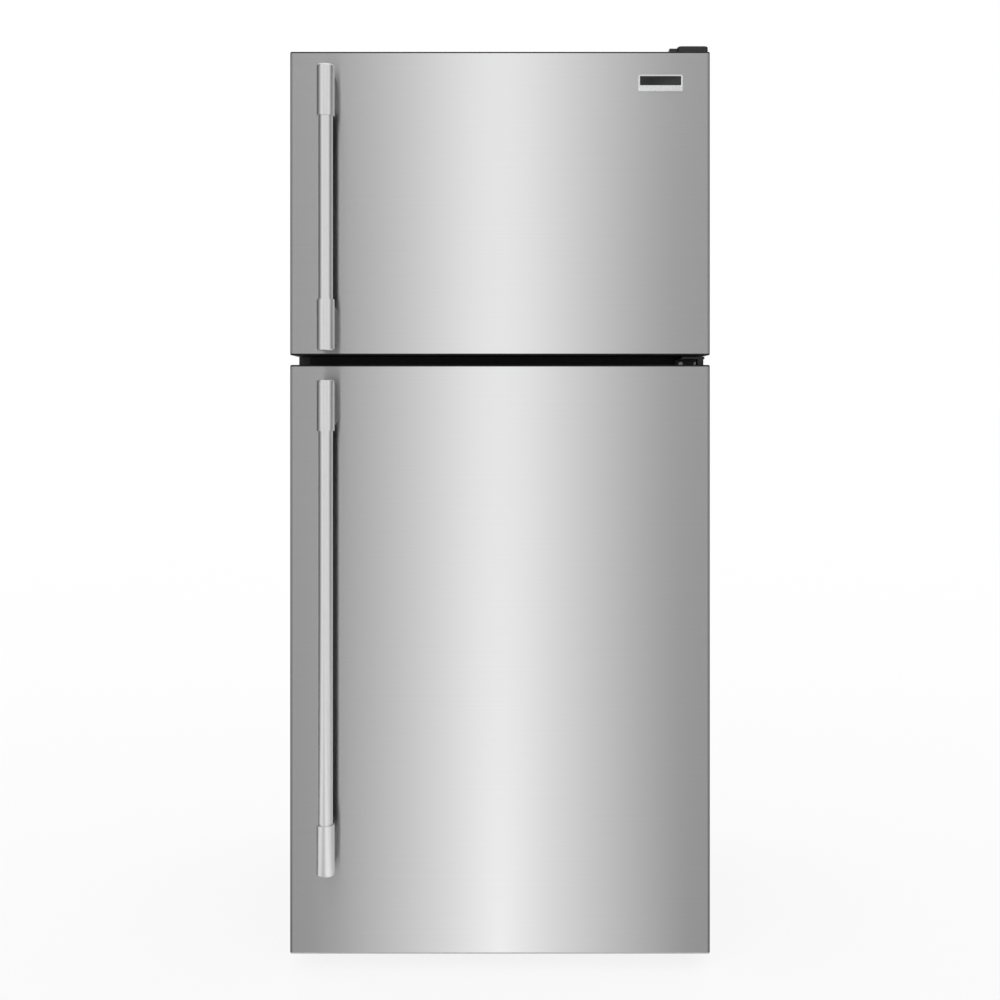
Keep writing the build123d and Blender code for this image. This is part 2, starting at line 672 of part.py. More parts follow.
def top_hinge_cover():
    """Moulded cover over the top hinge with a lower tail on its inner side."""
    x = (LEAF_X[0] - COVER_MARGIN, DOOR_HALF)
    y = (LEAF_FRONT - COVER_MARGIN, CABINET_FRONT + TOP_HINGE_REACH + COVER_MARGIN)
    top = CABINET_TOP + COVER_HEIGHT
    outer = round_upright(slab(x, y, (CABINET_TOP, top)), COVER_CORNER, 0)
    outer = fillet(outer.faces().sort_by(Axis.Z)[-1].edges(), COVER_WALL)
    inner_x = (x[0] + COVER_WALL, x[1] - COVER_WALL)
    inner_y = (y[0] + COVER_WALL, y[1] - COVER_WALL)
    inner = slab(inner_x, inner_y, (CABINET_TOP, top - COVER_WALL))
    inner = round_upright(inner, COVER_CORNER - COVER_WALL, 0)
    tail_x = (x[0] - COVER_TAIL_LENGTH, x[0])
    tail = slab(tail_x, (y[0] + COVER_CORNER, y[1]), (CABINET_TOP, CABINET_TOP + COVER_TAIL_HEIGHT))
    return (outer - inner) + tail


def center_hinge():
    """Bracket between the doors with one pin that reaches into both."""
    plate = slab(LEAF_X, (CABINET_FRONT - HINGE_PLATE, CABINET_FRONT), CENTER_PLATE)
    collar = rod_z(PIVOT_X, PIVOT_Y, (FRESH_DOOR_TOP + SLIDE_FIT, TONGUE_TOP - HINGE_PLATE), COLLAR_RADIUS)
    both = pin((FRESH_DOOR_TOP - PIN_ENGAGEMENT, FREEZER_DOOR_BOTTOM + PIN_ENGAGEMENT))
    bracket = joined([plate, tongue(TONGUE_TOP), collar, both])
    return bracket - upright_screw_holes(*UPRIGHT_SCREWS[0])


def bottom_hinge():
    """Bracket on the base frame with the lower pin."""
    flange_z = (RAIL_BOTTOM, CABINET_BOTTOM - SEAT_FIT)
    flange = slab(LEAF_X, (FRAME_FRONT - HINGE_PLATE, FRAME_FRONT), flange_z)
    lower = pin((BOTTOM_TONGUE_TOP, DOOR_BOTTOM + PIN_ENGAGEMENT))
    return joined([flange, tongue(BOTTOM_TONGUE_TOP), lower]) - upright_screw_holes(*UPRIGHT_SCREWS[1])


def hinge_screws():
    """Pan-head screws of the three hinges."""
    top = CABINET_TOP + HINGE_PLATE
    screws = []
    for x in SCREW_XS:
        for y in TOP_SCREW_YS:
            shank = rod_z(x, y, (CABINET_TOP, top), SCREW_RADIUS)
            screws.append(shank + rod_z(x, y, (top, top + SCREW_HEAD_HEIGHT), SCREW_HEAD_RADIUS))
        for face, z in UPRIGHT_SCREWS:
            shank = rod_y(x, (face, face + HINGE_PLATE), z, SCREW_RADIUS)
            screws.append(shank + rod_y(x, (face - SCREW_HEAD_HEIGHT, face), z, SCREW_HEAD_RADIUS))
    return group(screws)


# Handles and badge


def handle_bar(z):
    """Round bar with a spigot at each end."""
    grip = (z[0] + POST_LENGTH, z[1] - POST_LENGTH)
    spigot = (grip[0] - SPIGOT_LENGTH, grip[1] + SPIGOT_LENGTH)
    bar = rod_z(HANDLE_X, HANDLE_Y, grip, BAR_RADIUS)
    return bar + rod_z(HANDLE_X, HANDLE_Y, spigot, SPIGOT_RADIUS)


def handle_post(z, outer_end):
    """Round end post with its pad against the door; the bar's spigot enters its inner end."""
    post = rod_z(HANDLE_X, HANDLE_Y, z, POST_RADIUS)
    post = fillet(post.edges().filter_by(GeomType.CIRCLE).sort_by(Axis.Z)[outer_end], POST_ROUND)
    outline = Pos(HANDLE_X, sum(z) / 2) * SlotOverall(PAD_LENGTH, PAD_WIDTH, rotation=90)
    post = post + extrude(DOOR_PLANE * outline, amount=DOOR_FRONT - HANDLE_Y)
    bore = (z[1] - SPIGOT_LENGTH, z[1]) if outer_end == 0 else (z[0], z[0] + SPIGOT_LENGTH)
    return post - rod_z(HANDLE_X, HANDLE_Y, bore, SPIGOT_RADIUS + RUNNING_FIT)


def handle_posts(z):
    """Both end posts of a handle."""
    low = handle_post((z[0], z[0] + POST_LENGTH), 0)
    return group([low, handle_post((z[1] - POST_LENGTH, z[1]), -1)])


def badge():
    """Blank plate on the freezer door."""
    x = DOOR_HALF - BADGE_INSET
    z = FREEZER_DOOR_TOP - BADGE_DROP
    outline = Pos(x, z) * RectangleRounded(BADGE_WIDTH, BADGE_HEIGHT, BADGE_CORNER)
    return extrude(DOOR_PLANE * outline, amount=BADGE_WALL)


# Inside the cabinet


def shelf_frame(top):
    """Rim of a glass shelf with a seat for its pane."""
    y = (SHELF_FRONT, SHELF_BACK)
    rim = slab(span(SHELF_HALF), y, (top - SHELF_HEIGHT, top))
    room = slab(span(SHELF_HALF - SHELF_RIM), (y[0] + SHELF_RIM, y[1] - SHELF_RIM), (top - SHELF_HEIGHT, top))
    return rim - room - pane(top, 0)


def pane(top, fit):
    """Glass pane in its seat, drawn in by a fit."""
    edge = SHELF_RIM - PANE_SEAT + fit
    return slab(span(SHELF_HALF - edge), (SHELF_FRONT + edge, SHELF_BACK - edge), (top - PANE_WALL, top))


def shelf_supports():
    """Ledges on the side walls under the glass shelves."""
    y = (SHELF_FRONT + SHELF_RIM, SHELF_BACK - SHELF_RIM)
    ledges = []
    for top in SHELF_TOPS:
        z = (top - SHELF_HEIGHT - SUPPORT_HEIGHT, top - SHELF_HEIGHT)
        ledges.append(slab((CAVITY_HALF - SUPPORT_REACH, CAVITY_HALF), y, z))
        ledges.append(slab((-CAVITY_HALF, -CAVITY_HALF + SUPPORT_REACH), y, z))
    return ledges


def crisper_x(side):
    """Range of X of a crisper, left (-1) or right (1)."""
    return tuple(sorted((side * CRISPER_OUTER, side * CRISPER_GAP / 2)))


def crisper(side):
    """Clear drawer with a pull lip along its front."""
    x = crisper_x(side)
    z = (CRISPER_FLOOR, CRISPER_FLOOR + CRISPER_HEIGHT)
    box = tray(x, (CRISPER_FRONT, CRISPER_BACK), z, DRAWER_WALL, DRAWER_CORNER, 0)
    lip_x = (x[0] + RUNNER_INSET, x[1] - RUNNER_INSET)
    lip = slab(lip_x, (CRISPER_FRONT - CRISPER_LIP, CRISPER_FRONT + DRAWER_WALL), (z[1] - CRISPER_LIP, z[1]))
    return box + lip


def deli_drawer():
    """Shallow drawer with a flange along each side and a pull lip."""
    half = DELI_WIDTH / 2
    y = (SHELF_FRONT, SHELF_FRONT + DELI_DEPTH)
    box = tray(span(half), y, (DELI_TOP - DELI_HEIGHT, DELI_TOP), DRAWER_WALL, DRAWER_CORNER, 0)
    back = (y[0] + DRAWER_CORNER, y[1])
    flange_z = (DELI_TOP - DELI_FLANGE_WALL, DELI_TOP)
    flange_xs = [(half, half + DELI_FLANGE), (-half - DELI_FLANGE, -half)]
    flanges = [slab(x, back, flange_z) for x in flange_xs]
    lip = slab(span(half / 2), (y[0] - CRISPER_LIP, y[0] + DRAWER_WALL), (DELI_TOP - CRISPER_LIP, DELI_TOP))
    return joined([box, *flanges, lip])


def drawer_runners():
    """Ribs under the crispers and the hanging channels of the deli drawer."""
    rib_y = (CRISPER_FRONT + DRAWER_CORNER, STEP_BACK - LINER_CORNER)
    rib_z = (FRESH_FLOOR, FRESH_FLOOR + RUNNER_HEIGHT)
    ribs = []
    for side in (-1, 1):
        low, high = crisper_x(side)
        middles = (low + RUNNER_INSET, high - RUNNER_INSET)
        ribs += [slab(around(x, RUNNER_WIDTH), rib_y, rib_z) for x in middles]
    return [*ribs, deli_runner(1), deli_runner(-1)]


def deli_runner(side):
    """Channel that hangs from a shelf's rim and carries a flange of the deli drawer."""
    inner = DELI_WIDTH / 2 + SLIDE_FIT
    web = DELI_WIDTH / 2 + DELI_FLANGE + SLIDE_FIT
    foot_top = DELI_TOP - DELI_FLANGE_WALL - SLIDE_FIT
    y = (SHELF_FRONT, SHELF_BACK)
    foot_x = sorted((side * inner, side * (web + RUNNER_WALL)))
    web_x = sorted((side * web, side * (web + RUNNER_WALL)))
    foot = slab(foot_x, y, (foot_top - RUNNER_WALL, foot_top))
    return foot + slab(web_x, y, (foot_top, SHELF_TOPS[1] - SHELF_HEIGHT))


def freezer_shelf():
    """Wire shelf across the freezer."""
    z = FREEZER_FLOOR + FREEZER_SHELF_RISE
    y = (SHELF_FRONT, COVER_PLANE - WIRE_PITCH)
    bars = [rod_x(span(CAVITY_HALF), at, z, WIRE_FRAME_RADIUS) for at in (*y, sum(y) / 2)]
    count = int(2 * CAVITY_HALF / WIRE_PITCH) - 1
    xs = [(i - (count - 1) / 2) * WIRE_PITCH for i in range(count)]
    wire_z = z + WIRE_FRAME_RADIUS + WIRE_RADIUS / 2
    wire_y = (y[0] - 2 * WIRE_FRAME_RADIUS, y[1] + 2 * WIRE_FRAME_RADIUS)
    return joined([*bars, *[rod_y(x, wire_y, wire_z, WIRE_RADIUS) for x in xs]])


def evaporator_cover():
    """Panel across the freezer's back with rows of air slots."""
    y = (COVER_PLANE, COVER_PLANE + EVAPORATOR_COVER_WALL)
    panel = slab(span(CAVITY_HALF), y, (FREEZER_FLOOR, FREEZER_CEILING))
    xs = [(i - (VENT_COUNT - 1) / 2) * VENT_PITCH for i in range(VENT_COUNT)]
    rises = [VENT_INSET * row for row in (1, 2, 3)]
    zs = [FREEZER_FLOOR + rise for rise in rises] + [FREEZER_CEILING - rise for rise in rises]
    return panel - [slab(around(x, VENT_WIDTH), y, around(z, VENT_HEIGHT)) for x in xs for z in zs]


def fin_coil(x, y, z, tube_radius, rows, columns, fins, plate):
    """Straight tubes through a stack of fins between two end plates."""
    steps = [(fins - 1) / 2 * -1 + i for i in range(fins)]
    pitch = (x[1] - x[0] - plate) / (fins - 1)
    middle = sum(x) / 2
    sheets = [slab(around(middle + step * pitch, plate), y, z) for step in steps]
    row_z = [z[0] + (z[1] - z[0]) * (i + 0.5) / rows for i in range(rows)]
    column_y = [y[0] + (y[1] - y[0]) * (i + 0.5) / columns for i in range(columns)]
    return joined([*sheets, *[rod_x(x, at, height, tube_radius) for at in column_y for height in row_z]])


def evaporator_coil():
    """Finned evaporator on the freezer's back wall with the defrost heater under it."""
    bottom = FREEZER_FLOOR + COIL_RISE
    x = span(COIL_WIDTH / 2)
    y = (CAVITY_BACK - COIL_STANDOFF - COIL_DEPTH, CAVITY_BACK - COIL_STANDOFF)
    z = (bottom, bottom + COIL_HEIGHT)
    coil = fin_coil(x, y, z, COIL_TUBE_RADIUS, COIL_ROWS, 2, COIL_FIN_COUNT, COIL_FIN_WALL)
    end_z = (bottom - HEATER_DROP - HEATER_RADIUS, z[1])
    ends = [(x[0] - COIL_FIN_WALL, x[0]), (x[1], x[1] + COIL_FIN_WALL)]
    plates = [slab(end, (y[0], CAVITY_BACK), end_z) for end in ends]
    return joined([coil, *plates, rod_x(x, sum(y) / 2, bottom - HEATER_DROP, HEATER_RADIUS)])


def fan(radius):
    """Axial fan about Z, centred on the origin, with its shaft's bore."""
    hub = Cylinder(FAN_HUB_RADIUS, FAN_DEPTH)
    root = FAN_HUB_RADIUS - FAN_BLADE_WALL
    sheet = Box(radius - root, FAN_BLADE_CHORD, FAN_BLADE_WALL)
    blade = Pos((root + radius) / 2, 0) * Rot(FAN_PITCH, 0, 0) * sheet
    blades = [Rot(0, 0, 360 / FAN_BLADES * i) * blade for i in range(FAN_BLADES)]
    return joined([hub, *blades]) - Cylinder(FAN_SHAFT_RADIUS + RUNNING_FIT, 2 * FAN_DEPTH)


EVAPORATOR_FAN_Y = COVER_PLANE + EVAPORATOR_COVER_WALL + FAN_DEPTH


def evaporator_fan():
    """Fan behind the evaporator cover, turning about Y."""
    return Pos(0, EVAPORATOR_FAN_Y, FAN_Z) * Rot(90, 0, 0) * fan(EVAPORATOR_FAN_RADIUS)


def evaporator_fan_motor():
    """Motor on the freezer's back wall with its shaft."""
    face = EVAPORATOR_FAN_Y + FAN_DEPTH / 2 + MOTOR_GAP
    shaft = rod_y(0, (EVAPORATOR_FAN_Y - FAN_DEPTH / 2, face), FAN_Z, FAN_SHAFT_RADIUS)
    return rod_y(0, (face, CAVITY_BACK), FAN_Z, MOTOR_RADIUS) + shaft


def control_housing():
    """Control box under the fresh food ceiling with the knobs' sockets."""
    y = (CONTROL_FRONT, CONTROL_FRONT + CONTROL_DEPTH)
    box = slab(span(CONTROL_WIDTH / 2), y, (CONTROL_BOTTOM, FRESH_CEILING))
    box = fillet(box.edges().filter_by(Axis.X).group_by(Axis.Z)[0], CONTROL_EDGE)
    depth = (CONTROL_FRONT, CONTROL_FRONT + KNOB_SHAFT_LENGTH + SEAT_FIT)
    return box - [rod_y(x, depth, KNOB_Z, KNOB_SHAFT_RADIUS + RUNNING_FIT) for x in span(KNOB_SPACING / 2)]


def knob(side):
    """Round knob with a grip bar and its shaft."""
    x = side * KNOB_SPACING / 2
    face = CONTROL_FRONT - SLIDE_FIT
    front = face - KNOB_DEPTH
    grip_x = around(x, KNOB_GRIP_WIDTH)
    grip_z = around(KNOB_Z, 2 * (KNOB_RADIUS - KNOB_GRIP_WIDTH / 2))
    grip = slab(grip_x, (front - KNOB_GRIP_DEPTH, front), grip_z)
    shaft = rod_y(x, (face, CONTROL_FRONT + KNOB_SHAFT_LENGTH), KNOB_Z, KNOB_SHAFT_RADIUS)
    return joined([rod_y(x, (front, face), KNOB_Z, KNOB_RADIUS), grip, shaft])


def lamp_lens():
    """Lens of the lamp under the control box."""
    middle = CONTROL_FRONT + CONTROL_DEPTH / 2
    z = (CONTROL_BOTTOM - LENS_DROP, CONTROL_BOTTOM)
    lens = slab(span(LENS_WIDTH / 2), around(middle, LENS_DEPTH), z)
    return fillet(lens.faces().sort_by(Axis.Z)[0].edges(), LENS_CORNER)


# Machine compartment


def machine_panel():
    """Sheet over and in front of the machine compartment."""
    y = (MACHINE_FRONT, COVER_FACE - REAR_COVER_WALL)
    roof = slab(span(INNER_HALF), y, (MACHINE_TOP - MACHINE_PANEL_WALL, MACHINE_TOP))
    wall = slab(span(INNER_HALF), (y[0], y[0] + MACHINE_PANEL_WALL), (DECK_TOP, MACHINE_TOP))
    return roof + wall


def compressor():
    """Sealed compressor on its foot plate."""
    top = COMPRESSOR_BOTTOM + COMPRESSOR_HEIGHT
    can = rod_z(COMPRESSOR_X, MACHINE_MIDDLE, (COMPRESSOR_BOTTOM, top), COMPRESSOR_RADIUS)
    can = fillet(can.edges().filter_by(GeomType.CIRCLE).sort_by(Axis.Z)[-1], COMPRESSOR_ROUND)
    plate_x = around(COMPRESSOR_X, COMPRESSOR_PLATE_WIDTH)
    plate_y = around(MACHINE_MIDDLE, COMPRESSOR_PLATE_DEPTH)
    return can + slab(plate_x, plate_y, (PLATE_BOTTOM, COMPRESSOR_BOTTOM))


def compressor_grommets():
    """Rubber feet between the compressor's plate and the deck."""
    xs = around(COMPRESSOR_X, COMPRESSOR_PLATE_WIDTH - 2 * GROMMET_INSET)
    ys = around(MACHINE_MIDDLE, COMPRESSOR_PLATE_DEPTH - 2 * GROMMET_INSET)
    return group(rod_z(x, y, (DECK_TOP, PLATE_BOTTOM), GROMMET_RADIUS) for x in xs for y in ys)


CONDENSER_X = around(PAN_X, CONDENSER_WIDTH)
CONDENSER_Z = (CONDENSER_BOTTOM, CONDENSER_BOTTOM + CONDENSER_HEIGHT)


def condenser_coil():
    """Finned condenser that stands in the drain pan."""
    y = around(MACHINE_MIDDLE, CONDENSER_DEPTH)
    return fin_coil(CONDENSER_X, y, CONDENSER_Z, CONDENSER_TUBE_RADIUS, CONDENSER_ROWS, CONDENSER_COLUMNS,
                    CONDENSER_FIN_COUNT, CONDENSER_PLATE)


def drain_pan():
    """Tray for defrost water on the deck."""
    z = (DECK_TOP, DECK_TOP + PAN_HEIGHT)
    return tray(around(PAN_X, PAN_WIDTH), around(MACHINE_MIDDLE, PAN_DEPTH), z, PAN_WALL, DRAWER_CORNER, 0)


def condenser_fan():
    """Fan between the condenser and the compressor, turning about X."""
    return Pos(CONDENSER_FAN_X, MACHINE_MIDDLE, CONDENSER_FAN_Z) * Rot(0, 90, 0) * fan(CONDENSER_FAN_RADIUS)


def condenser_fan_motor():
    """Motor with its shaft on a bracket from the deck."""
    face = CONDENSER_FAN_X + FAN_DEPTH / 2 + MOTOR_GAP
    can = rod_x((face, face + MOTOR_LENGTH), MACHINE_MIDDLE, CONDENSER_FAN_Z, MOTOR_RADIUS)
    shaft = rod_x((CONDENSER_FAN_X - FAN_DEPTH / 2, face), MACHINE_MIDDLE, CONDENSER_FAN_Z, FAN_SHAFT_RADIUS)
    leg_x = around(face + MOTOR_LENGTH / 2, MOTOR_BRACKET)
    leg = slab(leg_x, around(MACHINE_MIDDLE, MOTOR_RADIUS), (DECK_TOP, CONDENSER_FAN_Z))
    return joined([can, shaft, leg])


def refrigerant_lines():
    """Copper line from the compressor to the condenser with the filter drier in it."""
    start = COMPRESSOR_X - COMPRESSOR_RADIUS
    low = COMPRESSOR_BOTTOM + COMPRESSOR_HEIGHT / 2
    end_z = CONDENSER_Z[1] - LINE_DROP
    rise_x = start - LINE_STUB
    fall_x = CONDENSER_X[1] + LINE_STUB
    rise = [(start, low), (rise_x, low), (rise_x, LINE_Z)]
    fall = [(fall_x, LINE_Z), (fall_x, end_z), (CONDENSER_X[1], end_z)]
    path = FilletPolyline(*[(x, MACHINE_MIDDLE, z) for x, z in rise + fall], radius=LINE_BEND)
    tube = sweep(Plane(path @ 0, z_dir=path % 0) * Circle(LINE_RADIUS), path=path)
    drier_x = around((rise_x + fall_x) / 2, DRIER_LENGTH)
    return tube + rod_x(drier_x, MACHINE_MIDDLE, LINE_Z, DRIER_RADIUS)


def rear_cover():
    """Slotted cover of the machine compartment with a hole for the cord's gland."""
    y = (COVER_FACE - REAR_COVER_WALL, COVER_FACE)
    sheet = slab(span(INNER_HALF), y, (DECK_TOP, MACHINE_TOP))
    xs = [(i - (LOUVRE_COLUMNS - 1) / 2) * LOUVRE_SPACING for i in range(LOUVRE_COLUMNS)]
    middle = (DECK_TOP + MACHINE_TOP) / 2
    zs = [middle + (i - (LOUVRE_ROWS - 1) / 2) * LOUVRE_PITCH for i in range(LOUVRE_ROWS)]
    slots = [slab(around(x, LOUVRE_WIDTH), y, around(z, LOUVRE_HEIGHT)) for x in xs for z in zs]
    return sheet - slots - rod_y(GLAND_X, y, GLAND_Z, GLAND_RADIUS + SEAT_FIT)


def cord_inlet():
    """Flanged bush in the rear cover where the mains cord would leave."""
    inside = COVER_FACE - REAR_COVER_WALL - GLAND_FLANGE
    bush = rod_y(GLAND_X, (inside, COVER_FACE), GLAND_Z, GLAND_RADIUS)
    flange = rod_y(GLAND_X, (COVER_FACE, COVER_FACE + GLAND_FLANGE), GLAND_Z, GLAND_FLANGE_RADIUS)
    return bush + flange - rod_y(GLAND_X, (inside, BACK), GLAND_Z, GLAND_BORE)


FREEZER_HANDLE_BOTTOM = FREEZER_DOOR_BOTTOM + FREEZER_HANDLE_RISE
FREEZER_HANDLE = (FREEZER_HANDLE_BOTTOM, FREEZER_HANDLE_BOTTOM + FREEZER_HANDLE_LENGTH)
FRESH_HANDLE_TOP = FRESH_DOOR_TOP - FRESH_HANDLE_DROP
FRESH_HANDLE = (FRESH_HANDLE_TOP - FRESH_HANDLE_LENGTH, FRESH_HANDLE_TOP)
FREEZER_LINER_Z = (MULLION_COVER[1], CABINET_TOP - WRAPPER_RETURN)
FRESH_LINER_Z = (CABINET_BOTTOM, MULLION_COVER[0])


def all_nodes():
    """Every sub-part by its node name."""
    nodes = {
        "cabinet_wrapper": cabinet_wrapper(),
        "rear_panel": rear_panel(),
        "cabinet_foam": cabinet_foam(),
        "freezer_liner": liner(freezer_space, FREEZER_LINER_Z),
        "fresh_food_liner": liner(fresh_food_space, FRESH_LINER_Z),
        "mullion_cover": mullion_cover(),
        "base_frame": base_frame(),
        "toe_grille": toe_grille(),
        "left_rear_roller": roller(-1),
        "right_rear_roller": roller(1),
        "left_leveling_leg": leveling_leg(-1),
        "right_leveling_leg": leveling_leg(1),
        "top_hinge": top_hinge(),
        "top_hinge_cover": top_hinge_cover(),
        "center_hinge": center_hinge(),
        "bottom_hinge": bottom_hinge(),
        "hinge_screws": hinge_screws(),
        "badge": badge(),
        "freezer_shelf": freezer_shelf(),
        "evaporator_cover": evaporator_cover(),
        "evaporator_coil": evaporator_coil(),
        "evaporator_fan": evaporator_fan(),
        "evaporator_fan_motor": evaporator_fan_motor(),
        "control_housing": control_housing(),
        "freezer_knob": knob(-1),
        "fresh_food_knob": knob(1),
        "lamp_lens": lamp_lens(),
        "shelf_frames": group(shelf_frame(top) for top in SHELF_TOPS),
        "shelf_panes": group(pane(top, SEAT_FIT) for top in SHELF_TOPS),
        "shelf_and_drawer_rails": group([*shelf_supports(), *drawer_runners()]),
        "left_crisper": crisper(-1),
        "right_crisper": crisper(1),
        "deli_drawer": deli_drawer(),
        "freezer_door_bins": freezer_door_bins(),
        "fresh_food_door_bins": fresh_food_door_bins(),
        "dairy_lid": dairy_lid(),
        "machine_panel": machine_panel(),
        "compressor": compressor(),
        "compressor_grommets": compressor_grommets(),
        "condenser_coil": condenser_coil(),
        "drain_pan": drain_pan(),
        "condenser_fan": condenser_fan(),
        "condenser_fan_motor": condenser_fan_motor(),
        "refrigerant_lines": refrigerant_lines(),
        "rear_cover": rear_cover(),
        "cord_inlet": cord_inlet(),
    }
    doors = {
        "freezer": (FREEZER_DOOR, (FREEZER_FLOOR, FREEZER_CEILING), FREEZER_HANDLE),
        "fresh_food": (FRESH_DOOR, (FRESH_FLOOR, FRESH_CEILING), FRESH_HANDLE),
    }
    for name, (z, room, handle) in doors.items():
        nodes[f"{name}_door_skin"] = door_skin(z)
        nodes[f"{name}_door_caps"] = door_caps(z)
        nodes[f"{name}_door_foam"] = door_foam(z)
        nodes[f"{name}_door_liner"] = door_liner(z, room)
        nodes[f"{name}_door_gasket"] = door_gasket(z)
        nodes[f"{name}_handle_bar"] = handle_bar(handle)
        nodes[f"{name}_handle_posts"] = handle_posts(handle)
    return nodes


os.makedirs("parts", exist_ok=True)
for node, shape in all_nodes().items():
    export_step(shape, f"parts/{node}.step")
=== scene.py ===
import json
import math

import bpy
from mathutils import Matrix, Vector


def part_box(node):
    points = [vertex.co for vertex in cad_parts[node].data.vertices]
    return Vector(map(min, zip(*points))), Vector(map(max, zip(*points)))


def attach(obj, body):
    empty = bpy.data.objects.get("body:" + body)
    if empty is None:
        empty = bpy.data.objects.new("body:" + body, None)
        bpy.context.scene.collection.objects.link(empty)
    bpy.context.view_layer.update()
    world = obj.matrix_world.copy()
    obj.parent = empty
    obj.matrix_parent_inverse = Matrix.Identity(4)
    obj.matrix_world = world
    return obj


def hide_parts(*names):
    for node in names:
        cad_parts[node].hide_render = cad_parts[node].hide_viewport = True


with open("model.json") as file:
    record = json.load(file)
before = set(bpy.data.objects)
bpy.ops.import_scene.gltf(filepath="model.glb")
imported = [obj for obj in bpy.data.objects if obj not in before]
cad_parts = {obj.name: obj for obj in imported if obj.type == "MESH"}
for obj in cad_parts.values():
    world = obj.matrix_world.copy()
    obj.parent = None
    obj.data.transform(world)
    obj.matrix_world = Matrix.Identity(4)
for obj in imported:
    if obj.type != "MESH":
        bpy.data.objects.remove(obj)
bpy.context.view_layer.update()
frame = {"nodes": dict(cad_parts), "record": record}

# Camera: square on to the doors, a little above the gap between them
CAMERA_BEFORE_DOORS = 2.17
CAMERA_HEIGHT = 1.02
LENS = 43.06
SHIFT_Y = -0.0927

# Studio
SCREEN_RADIUS = 3.2
SCREEN_HEIGHT = 5.0
SCREEN_EDGE = 0.2
SCREEN_SIDES = 96
CARD_EDGE = -0.3
CARD_HEIGHT = 0.002
FLOOR_SIZE = 600.0
FLOOR_HEIGHT = -0.0004
FLOOR_GLOW = 0.86
# How softly the painted shadow under the cabinet fades out
PAINTED_SHADOW_FADE = 0.05
FLOOR_TONE = (0.95, 0.95, 0.95)
WORLD_FILL = 1.05
# Light of the screen by degrees to either side of the doors' middle
SCREEN_LEVELS = ((0, 1.36), (2.4, 1.04), (4.8, 0.8), (9, 0.4), (12, 0.38),
                 (16, 0.95), (31, 0.95), (40, 0.42), (50, 0.16), (90, 0.06))
FLAG_EDGE = -0.46
FLAG_REACH = 3.0
FLAG_INNER = 0.42
FLAG_LIFT = 0.002
CLOTH_TONES = ((0.02, 0.02, 0.02), (0.03, 0.03, 0.03))

# How softly one tone of a finish gives way to another
TONE_FADE = 0.001
# Handles carry painted shade on the side that faces the door, nearer to the middle than this
HANDLE_BACK = 0.374
# Door skins carry a painted dark reflection over their rolled side edges
EDGE_HALF = 0.3805
EDGE_FADE = 0.0055
EDGE_FRONT = 0.3325
# The cabinet's front edges carry painted black shade before this plane
FLANGE_FRONT = -0.2515
# The lower door's foot cap carries painted light below this height
FOOT_CAP = 0.2
FOOT_FADE = 0.01

# Lamp behind the lens inside
LAMP_STRENGTH = 5.0
LAMP_TINT = (1.0, 0.95, 0.86)

# Turn of a primitive from lying on the floor to facing the front
UPRIGHT = (math.radians(90), 0, 0)

# Modelling: steps of a small and a large round, the angle that stays sharp, and what counts as
# running along an axis and facing along one
SOFT_STEPS = 2
CORNER_STEPS = 8
SHARP_ANGLE = 32
TINY = 0.0005
FACING = 0.9

# Badge, seals and screws
BADGE_CORNER = 0.003
BADGE_RIM = 0.0026
BADGE_RECESS = 0.0006
BADGE_INLAY_SHARE = 0.67
BADGE_SOFT = 0.0002
SEAL_WIDTH = 0.018
SEAL_FOLDS = 3
SEAL_FOLD_DEPTH = 0.0014
SEAL_SOFT = 0.0005
SCREW_INSET = 0.012
SCREW_WASHER = 0.0055
SCREW_HEAD = 0.0037
SCREW_WASHER_RISE = 0.001
SCREW_HEAD_RISE = 0.0016
SCREW_SOCKET = 0.001
SCREW_SIDES = 24
SCREW_SOFT = 0.0003
SCREW_COUNT = 5

# Bin and drawer rims: how far the walls stand outside the rooms inside them
RIM_HEIGHT = 0.006
RIM_WIDTH = 0.0052
RIM_SINK = 0.0002
RIM_SOFT = 0.0008
BIN_SIDE = 0.008
BIN_LINER_SIDE = 0.0032
BIN_CORNER = 0.0196
DRAWER_SIDE = 0.0053
DRAWER_BACK = 0.0026
DRAWER_CORNER = 0.0116
BIN_ROOMS = {"freezer_lower_bin": "freezer_door", "freezer_upper_bin": "freezer_door",
             "door_lower_bin": "fresh_food_door", "door_middle_bin": "fresh_food_door",
             "dairy_bin_inside": "fresh_food_door", "door_short_bin": "fresh_food_door"}

# Dial marks round the knobs
DIAL_GAP = 0.004
DIAL_SWEEP = 270
MARK_COUNT = 7
MARK_WIDTH = 0.0014
MARK_LENGTH = 0.004
MARK_RISE = 0.0005
MARK_SOFT = 0.0002

# How much of a see-through wall shows as body
CLEAR_BODY = 0.45

# Where on its noise a grain is darkest and lightest
GRAIN_LOW = 0.3
GRAIN_HIGH = 0.7

# Finishes: dark tone, light tone
STEEL_TONES = ((0.695, 0.695, 0.7), (0.725, 0.725, 0.73))
POLISHED_TONES = ((0.79, 0.79, 0.795), (0.83, 0.83, 0.835))
PAINT_TONES = ((0.052, 0.053, 0.055), (0.066, 0.067, 0.07))
TRIM_TONES = ((0.008, 0.008, 0.009), (0.014, 0.014, 0.015))
LINER_TONES = ((0.78, 0.79, 0.79), (0.84, 0.845, 0.845))
GASKET_TONES = ((0.16, 0.16, 0.165), (0.21, 0.21, 0.215))
GALVANISED_TONES = ((0.46, 0.47, 0.48), (0.56, 0.57, 0.58))
ZINC_TONES = ((0.4, 0.4, 0.41), (0.56, 0.56, 0.57))
OXIDE_TONES = ((0.03, 0.03, 0.032), (0.06, 0.06, 0.063))
MOULDED_TONES = ((0.02, 0.02, 0.022), (0.035, 0.035, 0.037))
COVER_TONES = ((0.016, 0.016, 0.017), (0.028, 0.028, 0.03))
COATED_TONES = ((0.026, 0.026, 0.027), (0.036, 0.036, 0.038))
FOAM_TONES = ((0.68, 0.58, 0.34), (0.82, 0.74, 0.5))
